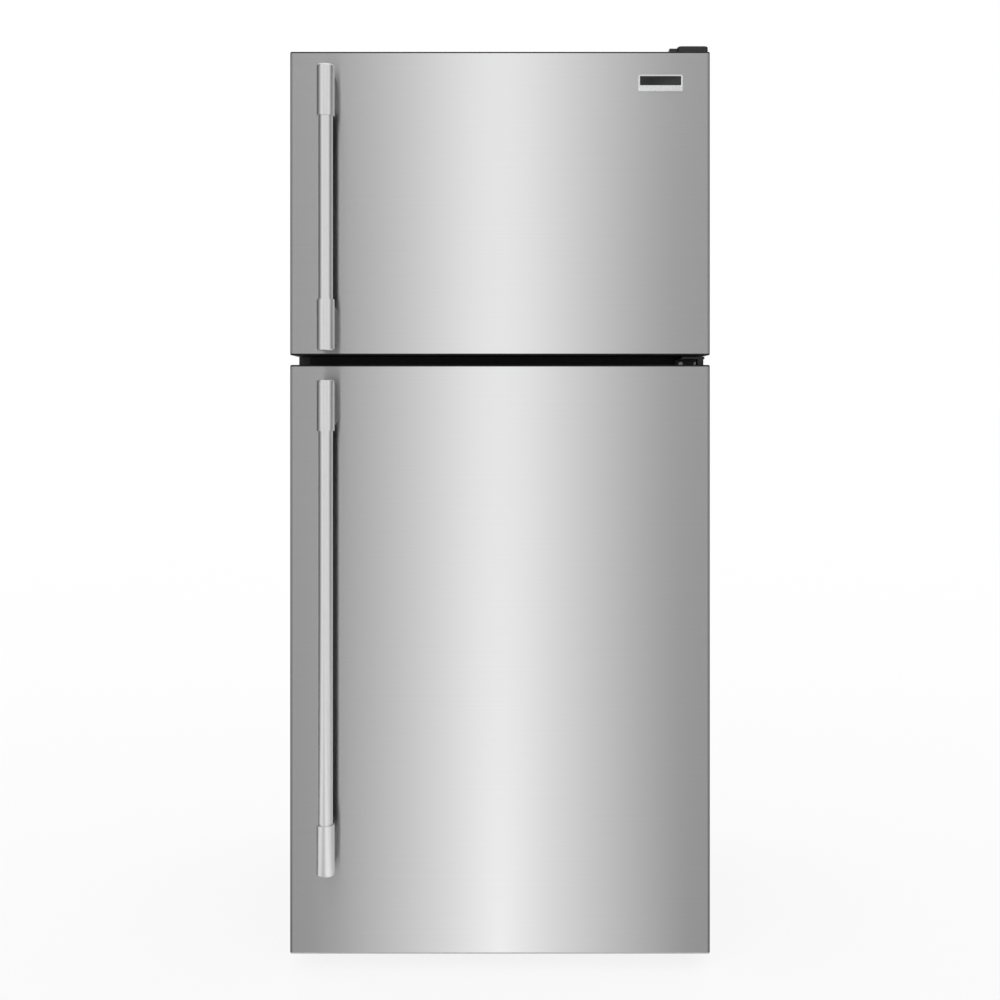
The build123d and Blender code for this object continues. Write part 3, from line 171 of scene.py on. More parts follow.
WIRE_TONES = ((0.78, 0.78, 0.78), (0.85, 0.85, 0.85))
KNOB_TONES = ((0.44, 0.45, 0.46), (0.5, 0.51, 0.52))
FIN_TONES = ((0.62, 0.63, 0.64), (0.78, 0.79, 0.8))
MOTOR_TONES = ((0.2, 0.2, 0.21), (0.3, 0.3, 0.31))
ENAMEL_TONES = ((0.012, 0.012, 0.013), (0.022, 0.022, 0.024))
RUBBER_TONES = ((0.02, 0.02, 0.02), (0.04, 0.04, 0.04))
COPPER_TONES = ((0.6, 0.28, 0.15), (0.8, 0.44, 0.28))
CLEAR_TONES = ((0.9, 0.94, 0.95), (0.95, 0.97, 0.98))
GLASS_TONES = ((0.86, 0.94, 0.91), (0.9, 0.96, 0.94))
FROSTED_TONES = ((0.84, 0.88, 0.9), (0.9, 0.93, 0.95))
LENS_TONES = ((0.86, 0.86, 0.82), (0.92, 0.92, 0.89))
PLATE_TONES = ((0.9, 0.905, 0.91), (0.95, 0.955, 0.96))
INLAY_TONES = ((0.008, 0.008, 0.009), (0.014, 0.014, 0.015))
# Plain tones laid over a finish in places: painted shade, a painted reflection and painted light
# Painted shade on the handles' door-facing side
PAINTED_BACK_SHADE = (0.02, 0.02, 0.021)
# Painted dark reflection on the door skins' rolled side edges
EDGE_REFLECTION_TONE = (0.11, 0.11, 0.112)
# Painted shade on the cabinet's front edges
FLANGE_SHADE_TONE = (0.01, 0.01, 0.011)
# Painted light on the lower door's foot cap
FOOT_LIGHT_TONE = (0.6, 0.6, 0.605)

# Nodes whose finish isn't their slot's
OWN_FINISHES = {"center_hinge": "dark_hinge", "bottom_hinge": "dark_hinge",
                "fresh_food_door_caps": "painted_light_trim", "rear_cover": "coated_cover"}


# Material nodes


def grain_noise(tree, scale, stretch, detail):
    """Noise on object coordinates, drawn out along an axis by its stretch."""
    place = tree.nodes.new("ShaderNodeTexCoord")
    mapping = tree.nodes.new("ShaderNodeMapping")
    noise = tree.nodes.new("ShaderNodeTexNoise")
    mapping.inputs["Scale"].default_value = stretch
    noise.inputs["Scale"].default_value = scale
    noise.inputs["Detail"].default_value = detail
    tree.links.new(place.outputs["Object"], mapping.inputs["Vector"])
    tree.links.new(mapping.outputs["Vector"], noise.inputs["Vector"])
    return noise.outputs["Fac"]


def tone_ramp(tree, factor, tones):
    """Colour that runs from a dark tone to a light one."""
    ramp = tree.nodes.new("ShaderNodeValToRGB")
    for element, tone, position in zip(ramp.color_ramp.elements, tones, (GRAIN_LOW, GRAIN_HIGH)):
        element.color = (*tone, 1)
        element.position = position
    tree.links.new(factor, ramp.inputs["Fac"])
    return ramp.outputs["Color"]


def spread(tree, factor, low, high):
    """Number that follows a grain between two limits."""
    reach = tree.nodes.new("ShaderNodeMapRange")
    reach.inputs["From Min"].default_value = GRAIN_LOW
    reach.inputs["From Max"].default_value = GRAIN_HIGH
    reach.inputs["To Min"].default_value = low
    reach.inputs["To Max"].default_value = high
    tree.links.new(factor, reach.inputs["Value"])
    return reach.outputs["Result"]


def relief_of(tree, height, strength, depth):
    """Bump from a grain."""
    bump = tree.nodes.new("ShaderNodeBump")
    bump.inputs["Strength"].default_value = strength
    bump.inputs["Distance"].default_value = depth
    tree.links.new(height, bump.inputs["Height"])
    return bump.outputs["Normal"]


def surface(name, tones, roughness, grain, relief, **sockets):
    """Finish whose tone, gloss and relief follow one grain; other sockets are set outright."""
    material = bpy.data.materials.new(name)
    material.use_nodes = True
    tree = material.node_tree
    shader = tree.nodes["Principled BSDF"]
    noise = grain_noise(tree, *grain)
    tree.links.new(tone_ramp(tree, noise, tones), shader.inputs["Base Color"])
    tree.links.new(spread(tree, noise, *roughness), shader.inputs["Roughness"])
    tree.links.new(relief_of(tree, noise, *relief), shader.inputs["Normal"])
    for socket, value in sockets.items():
        shader.inputs[socket.replace("_", " ")].default_value = value
    return material


def brushed(name, tones, roughness, stretch, anisotropy):
    """Brushed steel with its grain drawn out across the stretch."""
    grain = (1.0, stretch, 3.0)
    material = surface(name, tones, roughness, grain, (0.06, 0.00002), Metallic=1.0,
                       Anisotropic=anisotropy, Anisotropic_Rotation=0.25)
    tree = material.node_tree
    tangent = tree.nodes.new("ShaderNodeTangent")
    tangent.direction_type = "RADIAL"
    tangent.axis = "Z"
    tree.links.new(tangent.outputs["Tangent"], tree.nodes["Principled BSDF"].inputs["Tangent"])
    return material


def beyond(tree, axis, middle, half, fade):
    """0 within a half width of a middle along an axis, 1 outside it."""
    place = tree.nodes.new("ShaderNodeTexCoord")
    split = tree.nodes.new("ShaderNodeSeparateXYZ")
    apart = tree.nodes.new("ShaderNodeMath")
    apart.operation = "SUBTRACT"
    apart.inputs[1].default_value = middle
    away = tree.nodes.new("ShaderNodeMath")
    away.operation = "ABSOLUTE"
    reach = tree.nodes.new("ShaderNodeMapRange")
    reach.interpolation_type = "SMOOTHSTEP"
    reach.inputs["From Min"].default_value = half - fade
    reach.inputs["From Max"].default_value = half
    tree.links.new(place.outputs["Object"], split.inputs["Vector"])
    tree.links.new(split.outputs[axis], apart.inputs[0])
    tree.links.new(apart.outputs["Value"], away.inputs[0])
    tree.links.new(away.outputs["Value"], reach.inputs["Value"])
    return reach.outputs["Result"]


def combine(tree, operation, first, second):
    """Two masks worked into one."""
    both = tree.nodes.new("ShaderNodeMath")
    both.operation = operation
    tree.links.new(first, both.inputs[0])
    tree.links.new(second, both.inputs[1])
    return both.outputs["Value"]


def tone_where(material, mask, inside, outside):
    """Give a finish a plain tone where a mask is 1 or where it is 0; None keeps its own there."""
    tree = material.node_tree
    shader = tree.nodes["Principled BSDF"]
    own = shader.inputs["Base Color"].links[0].from_socket
    mix = tree.nodes.new("ShaderNodeMix")
    mix.data_type = "RGBA"
    for socket, tone in (("A", outside), ("B", inside)):
        if tone:
            mix.inputs[socket].default_value = (*tone, 1)
        else:
            tree.links.new(own, mix.inputs[socket])
    tree.links.new(mask, mix.inputs["Factor"])
    tree.links.new(mix.outputs["Result"], shader.inputs["Base Color"])
    return material


def painted_shade_backed(material):
    """Paint shade into a handle finish on the side that faces the door."""
    front = beyond(material.node_tree, "Y", 0, HANDLE_BACK, TONE_FADE)
    return tone_where(material, front, None, PAINTED_BACK_SHADE)


def painted_edge_reflection(material):
    """Paint a dark reflection into a door skin over its rolled side edges."""
    tree = material.node_tree
    edge = combine(tree, "MULTIPLY", beyond(tree, "X", 0, EDGE_HALF, EDGE_FADE),
                   beyond(tree, "Y", 0, EDGE_FRONT, TONE_FADE))
    return tone_where(material, edge, EDGE_REFLECTION_TONE, None)


def painted_shade_fronted(material):
    """Paint black shade onto the cabinet's front edges, which the gap between the doors shows."""
    front = beyond(material.node_tree, "Y", FLANGE_FRONT + 1, 1, TONE_FADE)
    return tone_where(material, front, FLANGE_SHADE_TONE, None)


def painted_light_footed(material):
    """Paint light into a cap finish at the foot of the lower door."""
    foot = beyond(material.node_tree, "Z", 1 + FOOT_CAP, 1, FOOT_FADE)
    return tone_where(material, foot, FOOT_LIGHT_TONE, None)


def clear(name, tones, roughness, ior):
    """See-through plastic or glass with faint flow marks."""
    return surface(name, tones, roughness, (14.0, (1, 1, 1), 2.0), (0.02, 0.0005),
                   Transmission_Weight=1.0, IOR=ior, Alpha=CLEAR_BODY)


def make_finishes():
    """A material for each material slot of the record, and for what differs from its slot."""
    fine = (900.0, (1, 1, 1), 2.0)
    peel = (420.0, (1, 1, 1), 3.0)
    cloudy = (9.0, (1, 1, 1), 4.0)
    return {
        # Door skins with a painted dark reflection on their rolled side edges
        "stainless": painted_edge_reflection(brushed("brushed_stainless", STEEL_TONES, (0.29, 0.325),
                                        (4, 4, 1800), 1.0)),
        # Handle finishes with painted shade on their door-facing side
        "handle_steel": painted_shade_backed(brushed("bar_stainless", POLISHED_TONES, (0.36, 0.42),
                                            (4000, 4000, 12), 0.0)),
        "handle_post": painted_shade_backed(brushed("post_stainless", POLISHED_TONES, (0.36, 0.42),
                                           (9, 9, 3000), 0.0)),
        "door_trim": surface("dark_trim", TRIM_TONES, (0.5, 0.6), fine, (0.1, 0.0001),
                             Specular_IOR_Level=0.25),
        # Door caps with painted light at the lower door's foot
        "painted_light_trim": painted_light_footed(surface("painted_light_trim", TRIM_TONES, (0.5, 0.6), fine, (0.1, 0.0001),
                                           Specular_IOR_Level=0.25)),
        "badge_plate": surface("satin_plate", PLATE_TONES, (0.26, 0.34), fine, (0.04, 0.00004), Metallic=1.0),
        # Cabinet paint with painted shade on its front edges
        "cabinet_paint": painted_shade_fronted(surface("textured_paint", PAINT_TONES, (0.42, 0.52), peel,
                                              (0.25, 0.0003))),
        "galvanised": surface("galvanised_sheet", GALVANISED_TONES, (0.4, 0.5), (130.0, (1, 1, 1), 2.0),
                              (0.02, 0.0001), Metallic=0.7),
        "coated_cover": surface("coated_cover", COATED_TONES, (0.45, 0.55), peel, (0.2, 0.0003)),
        "foam": surface("poured_foam", FOAM_TONES, (0.85, 0.95), (120.0, (1, 1, 1), 5.0), (0.5, 0.001)),
        "liner_white": surface("moulded_liner", LINER_TONES, (0.28, 0.36), (300.0, (1, 1, 1), 2.0),
                               (0.08, 0.0002)),
        "gasket": surface("soft_gasket", GASKET_TONES, (0.6, 0.72), (500.0, (1, 1, 1), 2.0), (0.1, 0.0002)),
        "clear_plastic": clear("clear_moulding", CLEAR_TONES, (0.04, 0.09), 1.49),
        "shelf_glass": clear("shelf_glass", GLASS_TONES, (0.01, 0.03), 1.52),
        "white_wire": surface("coated_wire", WIRE_TONES, (0.3, 0.4), fine, (0.05, 0.0001)),
        "hinge_cover": surface("hinge_cover_plastic", COVER_TONES, (0.4, 0.52), fine, (0.12, 0.0001)),
        "hinge_steel": surface("zinc_plate", ZINC_TONES, (0.3, 0.45), (160.0, (1, 1, 1), 3.0), (0.04, 0.0001),
                               Metallic=1.0),
        "frosted_rim": surface("frosted_rim", FROSTED_TONES, (0.3, 0.4), peel, (0.05, 0.0001),
                               Transmission_Weight=0.45, IOR=1.49),
        "inlay": surface("dark_inlay", INLAY_TONES, (0.2, 0.28), fine, (0.03, 0.00005)),
        "dark_hinge": surface("black_oxide", OXIDE_TONES, (0.34, 0.46), (160.0, (1, 1, 1), 3.0),
                              (0.04, 0.0001), Metallic=0.8),
        "black_plastic": surface("black_moulding", MOULDED_TONES, (0.5, 0.62), fine, (0.15, 0.0001)),
        "leg_steel": surface("leg_zinc", ZINC_TONES, (0.32, 0.46), (160.0, (1, 1, 1), 3.0), (0.04, 0.0001),
                             Metallic=1.0),
        "knob_white": surface("knob_plastic", KNOB_TONES, (0.3, 0.4), fine, (0.05, 0.0001)),
        "lens": surface("milky_lens", LENS_TONES, (0.3, 0.4), cloudy, (0.03, 0.0005),
                        Transmission_Weight=0.3, Emission_Color=(*LAMP_TINT, 1),
                        Emission_Strength=LAMP_STRENGTH),
        "coil_aluminium": surface("fin_aluminium", FIN_TONES, (0.3, 0.45), (80.0, (1, 1, 1), 3.0),
                                  (0.05, 0.0002), Metallic=1.0),
        "motor_steel": surface("motor_can", MOTOR_TONES, (0.35, 0.5), (120.0, (1, 1, 1), 3.0), (0.05, 0.0002),
                               Metallic=0.7),
        "compressor_black": surface("black_enamel", ENAMEL_TONES, (0.24, 0.34), peel, (0.12, 0.0003)),
        "rubber": surface("rubber_foot", RUBBER_TONES, (0.7, 0.85), fine, (0.15, 0.0002)),
        "copper": surface("copper_tube", COPPER_TONES, (0.25, 0.4), (60.0, (1, 1, 1), 4.0), (0.04, 0.0002),
                          Metallic=1.0),
    }


def dress_nodes(finishes):
    """Give every CAD node the finish of its slot."""
    for part in frame["record"]["subparts"]:
        node = frame["nodes"][part["node"]]
        finish = OWN_FINISHES.get(part["node"], part["material_slot"])
        for index in range(len(node.material_slots)):
            node.material_slots[index].material = finishes[finish]


# Modelling


def select_where(piece, test, mode):
    """Go into edit mode with the vertices, edges or faces selected whose middle passes a test."""
    bpy.ops.object.mode_set(mode="EDIT")
    bpy.ops.mesh.select_mode(type="VERT")
    bpy.ops.mesh.select_all(action="DESELECT")
    bpy.ops.mesh.select_mode(type=mode)
    bpy.ops.object.mode_set(mode="OBJECT")
    mesh = piece.data
    points = [vertex.co for vertex in mesh.vertices]
    if mode == "VERT":
        for vertex in mesh.vertices:
            vertex.select = test(vertex.co)
    elif mode == "EDGE":
        for edge in mesh.edges:
            ends = [points[i] for i in edge.vertices]
            edge.select = test((ends[0] + ends[1]) / 2, ends[1] - ends[0])
    else:
        for face in mesh.polygons:
            face.select = test(face.center, face.normal)
    bpy.ops.object.mode_set(mode="EDIT")


def block(name, low, high):
    """Box between two corners, to be shaped."""
    bpy.ops.object.select_all(action="DESELECT")
    low, high = Vector(low), Vector(high)
    bpy.ops.mesh.primitive_cube_add(size=1, location=(low + high) / 2)
    piece = bpy.context.object
    piece.name = name
    piece.scale = high - low
    bpy.ops.object.transform_apply(location=True, rotation=True, scale=True)
    return piece


def soften(piece, width):
    """Round a piece's sharp edges."""
    bpy.ops.object.mode_set(mode="OBJECT")
    bevel = piece.modifiers.new("soft_edges", "BEVEL")
    bevel.width = width
    bevel.segments = SOFT_STEPS
    bevel.limit_method = "ANGLE"
    bpy.ops.object.modifier_apply(modifier=bevel.name)


def fit_out(piece, body):
    """Smooth a finished piece and let it ride on its body."""
    if piece.mode != "OBJECT":
        bpy.ops.object.mode_set(mode="OBJECT")
    bpy.ops.object.shade_smooth_by_angle(angle=math.radians(SHARP_ANGLE))
    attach(piece, body)


def copy_to(piece, name, shift):
    """Copy of a finished piece with its own mesh, moved by a shift."""
    bpy.ops.object.select_all(action="DESELECT")
    piece.select_set(True)
    bpy.context.view_layer.objects.active = piece
    bpy.ops.object.duplicate()
    twin = bpy.context.object
    twin.name = name
    twin.location = shift
    bpy.ops.object.transform_apply(location=True)
    return twin


def turn_about(piece, middle, angle):
    """Turn a selected piece about a line along Y through a point."""
    piece.location = middle - Matrix.Rotation(angle, 3, "Y") @ middle
    piece.rotation_euler = (0, angle, 0)
    bpy.ops.object.transform_apply(location=True, rotation=True)


# Pieces


def badge_plate(finishes):
    """Plain plate with a dark inlay let into the upper part of its face."""
    low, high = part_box("badge")
    plate = block("badge_plate", low, high)
    plate.data.materials.append(finishes["badge_plate"])
    plate.data.materials.append(finishes["inlay"])
    select_where(plate, lambda middle, run: abs(run.y) > TINY, "EDGE")
    bpy.ops.mesh.bevel(offset=BADGE_CORNER, segments=CORNER_STEPS, affect="EDGES")
    select_where(plate, lambda middle, normal: normal.y < -FACING, "FACE")
    bpy.ops.mesh.inset(thickness=BADGE_RIM)
    bpy.ops.transform.resize(value=(1, 1, BADGE_INLAY_SHARE), center_override=(0, 0, high[2] - BADGE_RIM))
    bpy.ops.mesh.extrude_region_move(TRANSFORM_OT_translate={"value": (0, BADGE_RECESS, 0)})
    plate.active_material_index = 1
    bpy.ops.object.material_slot_assign()
    soften(plate, BADGE_SOFT)
    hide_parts("badge")
    fit_out(plate, "freezer_door")


def door_seal(door, finishes):
    """Bellows seal round the back of a door."""
    node = door + "_gasket"
    low, high = [Vector(corner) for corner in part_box(node)]
    bpy.ops.object.select_all(action="DESELECT")
    middle = (low + high) / 2
    bpy.ops.mesh.primitive_plane_add(size=1, location=(middle.x, low.y, middle.z), rotation=UPRIGHT)
    seal = bpy.context.object
    seal.name = door + "_seal"
    seal.scale = (high.x - low.x, high.z - low.z, 1)
    bpy.ops.object.transform_apply(location=True, rotation=True, scale=True)
    bpy.ops.object.mode_set(mode="EDIT")
    bpy.ops.mesh.select_all(action="SELECT")
    bpy.ops.mesh.inset(thickness=SEAL_WIDTH)
    bpy.ops.mesh.delete(type="FACE")
    bpy.ops.mesh.select_all(action="SELECT")
    depth = high.y - low.y
    bpy.ops.mesh.extrude_region_move(TRANSFORM_OT_translate={"value": (0, depth, 0)})
    select_where(seal, lambda middle, run: abs(run.y) > depth / 2, "EDGE")
    bpy.ops.mesh.subdivide(number_cuts=2 * SEAL_FOLDS - 1)
    step = depth / (2 * SEAL_FOLDS)
    select_where(seal, lambda point: round((point.y - low.y) / step) % 2 == 1, "VERT")
    bpy.ops.mesh.normals_make_consistent(inside=False)
    bpy.ops.transform.shrink_fatten(value=-SEAL_FOLD_DEPTH)
    bpy.ops.mesh.select_all(action="SELECT")
    bpy.ops.mesh.normals_make_consistent(inside=False)
    soften(seal, SEAL_SOFT)
    seal.data.materials.append(finishes["gasket"])
    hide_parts(node)
    fit_out(seal, door)


def rim_band(name, low, high, rounded, corner, body, finishes):
    """Thickened rim round the mouth of an open bin, with its corners rounded at one end of Y."""
    band = block(name, (low.x, low.y, high.z - RIM_HEIGHT), high)
    middle_y = (low.y + high.y) / 2
    select_where(band, lambda middle, run: abs(run.z) > TINY and rounded * (middle.y - middle_y) > 0, "EDGE")
    bpy.ops.mesh.bevel(offset=corner, segments=CORNER_STEPS, affect="EDGES")
    select_where(band, lambda middle, normal: abs(normal.z) > FACING, "FACE")
    bpy.ops.mesh.delete(type="FACE")
    bpy.ops.object.mode_set(mode="OBJECT")
    wall = band.modifiers.new("rim_wall", "SOLIDIFY")
    wall.thickness = RIM_WIDTH
    wall.offset = -1
    wall.use_even_offset = True
    bpy.ops.object.modifier_apply(modifier=wall.name)
    soften(band, RIM_SOFT)
    band.data.materials.append(finishes["frosted_rim"])
    fit_out(band, body)


def bin_rims(finishes):
    """Rims of the door bins and drawers, placed by the rooms that the record gives them."""
    rooms = {room["name"]: [Vector(corner) for corner in room["box_m"]]
             for room in frame["record"]["physics"]["openings"]}
    rooms["dairy_bin_inside"][1].z = rooms["door_short_bin"][1].z
    for room, body in BIN_ROOMS.items():
        low, high = rooms[room]
        low = low - Vector((BIN_SIDE, BIN_LINER_SIDE, 0))
        high = high + Vector((BIN_SIDE, BIN_SIDE, -RIM_SINK))
        rim_band(room + "_rim", low, high, 1, BIN_CORNER, body, finishes)
    for body in ("left_crisper", "right_crisper", "deli_drawer"):
        low, high = rooms[body + "_inside"]
        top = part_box(body)[1][2] - RIM_SINK
        low = low - Vector((DRAWER_SIDE, DRAWER_SIDE, 0))
        high = Vector((high.x + DRAWER_SIDE, high.y + DRAWER_BACK, top))
        rim_band(body + "_rim", low, high, -1, DRAWER_CORNER, body, finishes)


def dial_marks(knob, finishes):
    """Raised marks round a knob on the control housing."""
    low, high = [Vector(corner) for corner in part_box(knob)]
    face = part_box("control_housing")[0][1]
    middle = Vector(((low.x + high.x) / 2, face, (low.z + high.z) / 2))
    radius = (high.x - low.x) / 2 + DIAL_GAP
    half = MARK_WIDTH / 2
    mark = block(knob + "_dial_marks", middle + Vector((-half, -MARK_RISE, radius)),
                 middle + Vector((half, 0, radius + MARK_LENGTH)))
    soften(mark, MARK_SOFT)
    mark.data.materials.append(finishes["inlay"])
    marks = [mark]
    sweep = math.radians(DIAL_SWEEP)
    for step in range(1, MARK_COUNT):
        turn = sweep * step / (MARK_COUNT - 1)
        twin = copy_to(mark, "mark", (0, 0, 0))
        turn_about(twin, middle, turn)
        marks.append(twin)
    bpy.ops.object.select_all(action="DESELECT")
    for each in marks:
        each.select_set(True)
    bpy.context.view_layer.objects.active = mark
    bpy.ops.object.join()
    turn_about(mark, middle, -sweep / 2)
    fit_out(mark, "cabinet")


def cover_screws(finishes):
    """Washer-head screws along the rear cover's edges."""
    low, high = [Vector(corner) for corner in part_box("rear_cover")]
    start = Vector((low.x + SCREW_INSET, high.y, low.z + SCREW_INSET))
    bpy.ops.object.select_all(action="DESELECT")
    bpy.ops.mesh.primitive_cylinder_add(vertices=SCREW_SIDES, radius=SCREW_WASHER, depth=SCREW_WASHER_RISE,
                                        location=start + Vector((0, SCREW_WASHER_RISE / 2, 0)),
                                        rotation=UPRIGHT)
    screw = bpy.context.object
    screw.name = "cover_screw_1"
    bpy.ops.object.transform_apply(location=True, rotation=True)
    select_where(screw, lambda middle, normal: normal.y > FACING, "FACE")
    bpy.ops.mesh.inset(thickness=SCREW_WASHER - SCREW_HEAD)
    bpy.ops.mesh.extrude_region_move(TRANSFORM_OT_translate={"value": (0, SCREW_HEAD_RISE, 0)})
    bpy.ops.mesh.inset(thickness=SCREW_HEAD / 2)
    bpy.ops.mesh.extrude_region_move(TRANSFORM_OT_translate={"value": (0, -SCREW_SOCKET, 0)})
    soften(screw, SCREW_SOFT)
    screw.data.materials.append(finishes["leg_steel"])
    pitch = (high.x - low.x - 2 * SCREW_INSET) / (SCREW_COUNT - 1)
    rise = high.z - low.z - 2 * SCREW_INSET
    screws = [screw]
    for index in range(1, 2 * SCREW_COUNT):
        shift = ((index % SCREW_COUNT) * pitch, 0, rise * (index // SCREW_COUNT))
        screws.append(copy_to(screw, "cover_screw_%d" % (index + 1), shift))
    for each in screws:
        bpy.context.view_layer.objects.active = each
        bpy.ops.object.select_all(action="DESELECT")
        each.select_set(True)
        fit_out(each, "cabinet")


# Studio


def emission_material(name):
    """Empty node tree with an emission shader on its output."""
    material = bpy.data.materials.new(name)
    material.use_nodes = True
    tree = material.node_tree
    tree.nodes.clear()
    output = tree.nodes.new("ShaderNodeOutputMaterial")
    glow = tree.nodes.new("ShaderNodeEmission")
    tree.links.new(glow.outputs["Emission"], output.inputs["Surface"])
    return material, tree, glow


def graded_light(apex):
    """Soft light graded by its bearing from a point behind the doors."""
    material, tree, glow = emission_material("graded_softbox")
    place = tree.nodes.new("ShaderNodeTexCoord")
    split = tree.nodes.new("ShaderNodeSeparateXYZ")
    ahead = tree.nodes.new("ShaderNodeMath")
    ahead.operation = "SUBTRACT"
    ahead.inputs[0].default_value = apex
    bearing = tree.nodes.new("ShaderNodeMath")
    bearing.operation = "ARCTAN2"
    aside = tree.nodes.new("ShaderNodeMath")
    aside.operation = "ABSOLUTE"
    quarter = tree.nodes.new("ShaderNodeMapRange")
    quarter.inputs["From Max"].default_value = math.pi / 2
    ramp = tree.nodes.new("ShaderNodeValToRGB")
    elements = ramp.color_ramp.elements
    for _ in SCREEN_LEVELS[2:]:
        elements.new(0.5)
    for element, (degrees, level) in zip(elements, SCREEN_LEVELS):
        element.position = degrees / 90
        element.color = (level, level, level, 1)
    tree.links.new(place.outputs["Object"], split.inputs["Vector"])
    tree.links.new(split.outputs["Y"], ahead.inputs[1])
    tree.links.new(split.outputs["X"], bearing.inputs[0])
    tree.links.new(ahead.outputs["Value"], bearing.inputs[1])
    tree.links.new(bearing.outputs["Value"], aside.inputs[0])
    tree.links.new(aside.outputs["Value"], quarter.inputs["Value"])
    tree.links.new(quarter.outputs["Result"], ramp.inputs["Fac"])
    tree.links.new(ramp.outputs["Color"], glow.inputs["Color"])
    return material


def cut_back(piece, front):
    """Cut a lit piece off behind a plane across Y and hide it from the camera."""
    bpy.ops.object.transform_apply(location=True)
    bpy.ops.object.mode_set(mode="EDIT")
    bpy.ops.mesh.select_all(action="SELECT")
    bpy.ops.mesh.bisect(plane_co=(0, front, 0), plane_no=(0, 1, 0), clear_outer=True)
    bpy.ops.object.mode_set(mode="OBJECT")
    piece.visible_camera = False
    piece.visible_shadow = False


def lit_screen():
    """Half round of lit screen behind the camera, and a reflector card on the floor before it."""
    door_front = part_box("freezer_door_skin")[0][1]
    light = graded_light(door_front + CAMERA_BEFORE_DOORS)
    bpy.ops.object.select_all(action="DESELECT")
    bpy.ops.mesh.primitive_cylinder_add(vertices=SCREEN_SIDES, radius=SCREEN_RADIUS, depth=SCREEN_HEIGHT,
                                        end_fill_type="NOTHING", location=(0, 0, SCREEN_HEIGHT / 2))
    screen = bpy.context.object
    screen.name = "curved_screen"
    screen.data.materials.append(light)
    cut_back(screen, SCREEN_EDGE)
    bpy.ops.object.select_all(action="DESELECT")
    bpy.ops.mesh.primitive_circle_add(vertices=SCREEN_SIDES, radius=SCREEN_RADIUS, fill_type="NGON",
                                      location=(0, 0, CARD_HEIGHT))
    card = bpy.context.object
    card.name = "reflector_card"
    card.data.materials.append(light)
    cut_back(card, CARD_EDGE)
    card.visible_diffuse = False


def dark_flag(side, cloth):
    """Black flag beside the object, turned in along the floor; seen only in reflections."""
    bpy.ops.object.select_all(action="DESELECT")
    middle = (side * SCREEN_RADIUS, FLAG_EDGE + FLAG_REACH / 2, SCREEN_HEIGHT / 2)
    bpy.ops.mesh.primitive_plane_add(size=1, location=middle, rotation=(0, math.radians(90), 0))
    flag = bpy.context.object
    flag.name = "dark_flag_left" if side < 0 else "dark_flag_right"
    flag.scale = (SCREEN_HEIGHT, FLAG_REACH, 1)
    bpy.ops.object.transform_apply(location=True, rotation=True, scale=True)
    select_where(flag, lambda point: point.z < SCREEN_HEIGHT / 2, "VERT")
    turned_in = (side * (FLAG_INNER - SCREEN_RADIUS), 0, FLAG_LIFT)
    bpy.ops.mesh.extrude_region_move(TRANSFORM_OT_translate={"value": turned_in})
    bpy.ops.object.mode_set(mode="OBJECT")
    flag.data.materials.append(cloth)
    flag.visible_camera = False
    flag.visible_diffuse = False
    flag.visible_transmission = False
    flag.visible_shadow = False


def seen_directly(tree):
    """1 for rays from the camera, a glossy bounce or through glass, 0 for the rest."""
    path = tree.nodes.new("ShaderNodeLightPath")
    total = path.outputs["Is Camera Ray"]
    for ray in ("Is Glossy Ray", "Is Transmission Ray"):
        total = combine(tree, "MAXIMUM", total, path.outputs[ray])
    return total


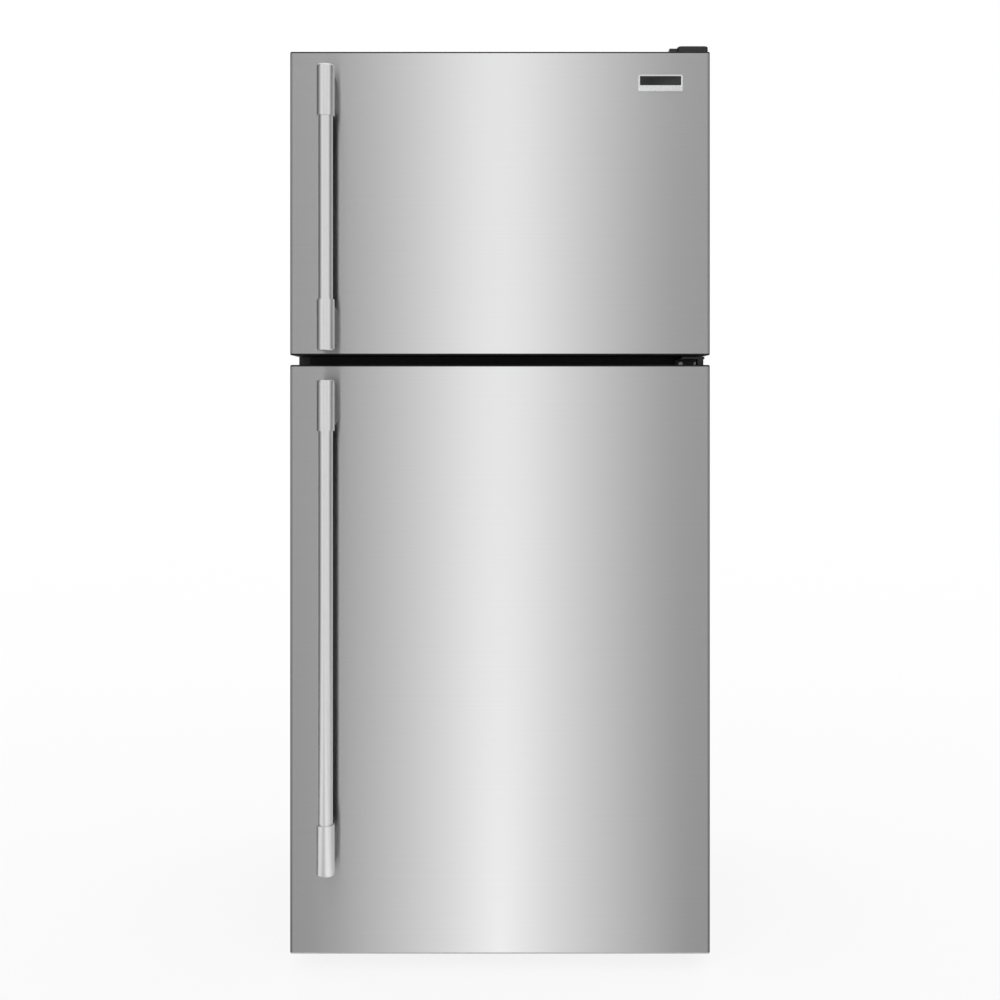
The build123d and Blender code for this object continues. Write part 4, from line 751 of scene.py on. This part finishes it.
def white_floor():
    """Pale floor that keeps the object's shadow, with a painted shadow under the cabinet where its glow is
    taken away.
    """
    bpy.ops.object.select_all(action="DESELECT")
    bpy.ops.mesh.primitive_plane_add(size=FLOOR_SIZE, location=(0, 0, FLOOR_HEIGHT))
    bpy.ops.object.transform_apply(location=True)
    floor = bpy.context.object
    floor.name = "studio_floor"
    material, tree, glow = emission_material("pale_floor")
    output = tree.nodes["Material Output"]
    matt = tree.nodes.new("ShaderNodeBsdfDiffuse")
    matt.inputs["Color"].default_value = (*FLOOR_TONE, 1)
    glow.inputs["Color"].default_value = (1, 1, 1, 1)
    # The glow is taken away over the cabinet's footprint, as a painted shadow under it
    low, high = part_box("cabinet_wrapper")
    across = beyond(tree, "X", 0, high[0], PAINTED_SHADOW_FADE)
    along = beyond(tree, "Y", (low[1] + high[1]) / 2, (high[1] - low[1]) / 2, PAINTED_SHADOW_FADE)
    outside = combine(tree, "MAXIMUM", across, along)
    lit = combine(tree, "MULTIPLY", outside, seen_directly(tree))
    share = tree.nodes.new("ShaderNodeMath")
    share.operation = "MULTIPLY"
    share.inputs[1].default_value = FLOOR_GLOW
    mix = tree.nodes.new("ShaderNodeMixShader")
    tree.links.new(lit, share.inputs[0])
    tree.links.new(share.outputs["Value"], mix.inputs["Fac"])
    tree.links.new(matt.outputs["BSDF"], mix.inputs[1])
    tree.links.new(glow.outputs["Emission"], mix.inputs[2])
    tree.links.new(mix.outputs["Shader"], output.inputs["Surface"])
    floor.data.materials.append(material)


def white_world():
    """White surround as seen, with its own level of fill on the object."""
    world = bpy.data.worlds.new("white_surround")
    world.use_nodes = True
    bpy.context.scene.world = world
    tree = world.node_tree
    back = tree.nodes["Background"]
    back.inputs["Color"].default_value = (1, 1, 1, 1)
    level = tree.nodes.new("ShaderNodeMapRange")
    level.inputs["To Min"].default_value = WORLD_FILL
    level.inputs["To Max"].default_value = 1.0
    tree.links.new(seen_directly(tree), level.inputs["Value"])
    tree.links.new(level.outputs["Result"], back.inputs["Strength"])


def front_camera():
    """Camera square on to the doors."""
    door_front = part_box("freezer_door_skin")[0][1]
    data = bpy.data.cameras.new("front_camera")
    data.lens = LENS
    data.shift_y = SHIFT_Y
    camera = bpy.data.objects.new("front_camera", data)
    bpy.context.scene.collection.objects.link(camera)
    camera.location = (0, door_front - CAMERA_BEFORE_DOORS, CAMERA_HEIGHT)
    camera.rotation_euler = UPRIGHT
    bpy.context.scene.camera = camera


front_camera()
finishes = make_finishes()
dress_nodes(finishes)
badge_plate(finishes)
for door in ("freezer_door", "fresh_food_door"):
    door_seal(door, finishes)
bin_rims(finishes)
for knob in ("freezer_knob", "fresh_food_knob"):
    dial_marks(knob, finishes)
cover_screws(finishes)
lit_screen()
cloth = surface("black_cloth", CLOTH_TONES, (0.8, 0.9), (200.0, (1, 1, 1), 2.0), (0.1, 0.001))
for side in (-1, 1):
    dark_flag(side, cloth)
white_floor()
white_world()
bpy.context.scene.view_settings.view_transform = "Standard"
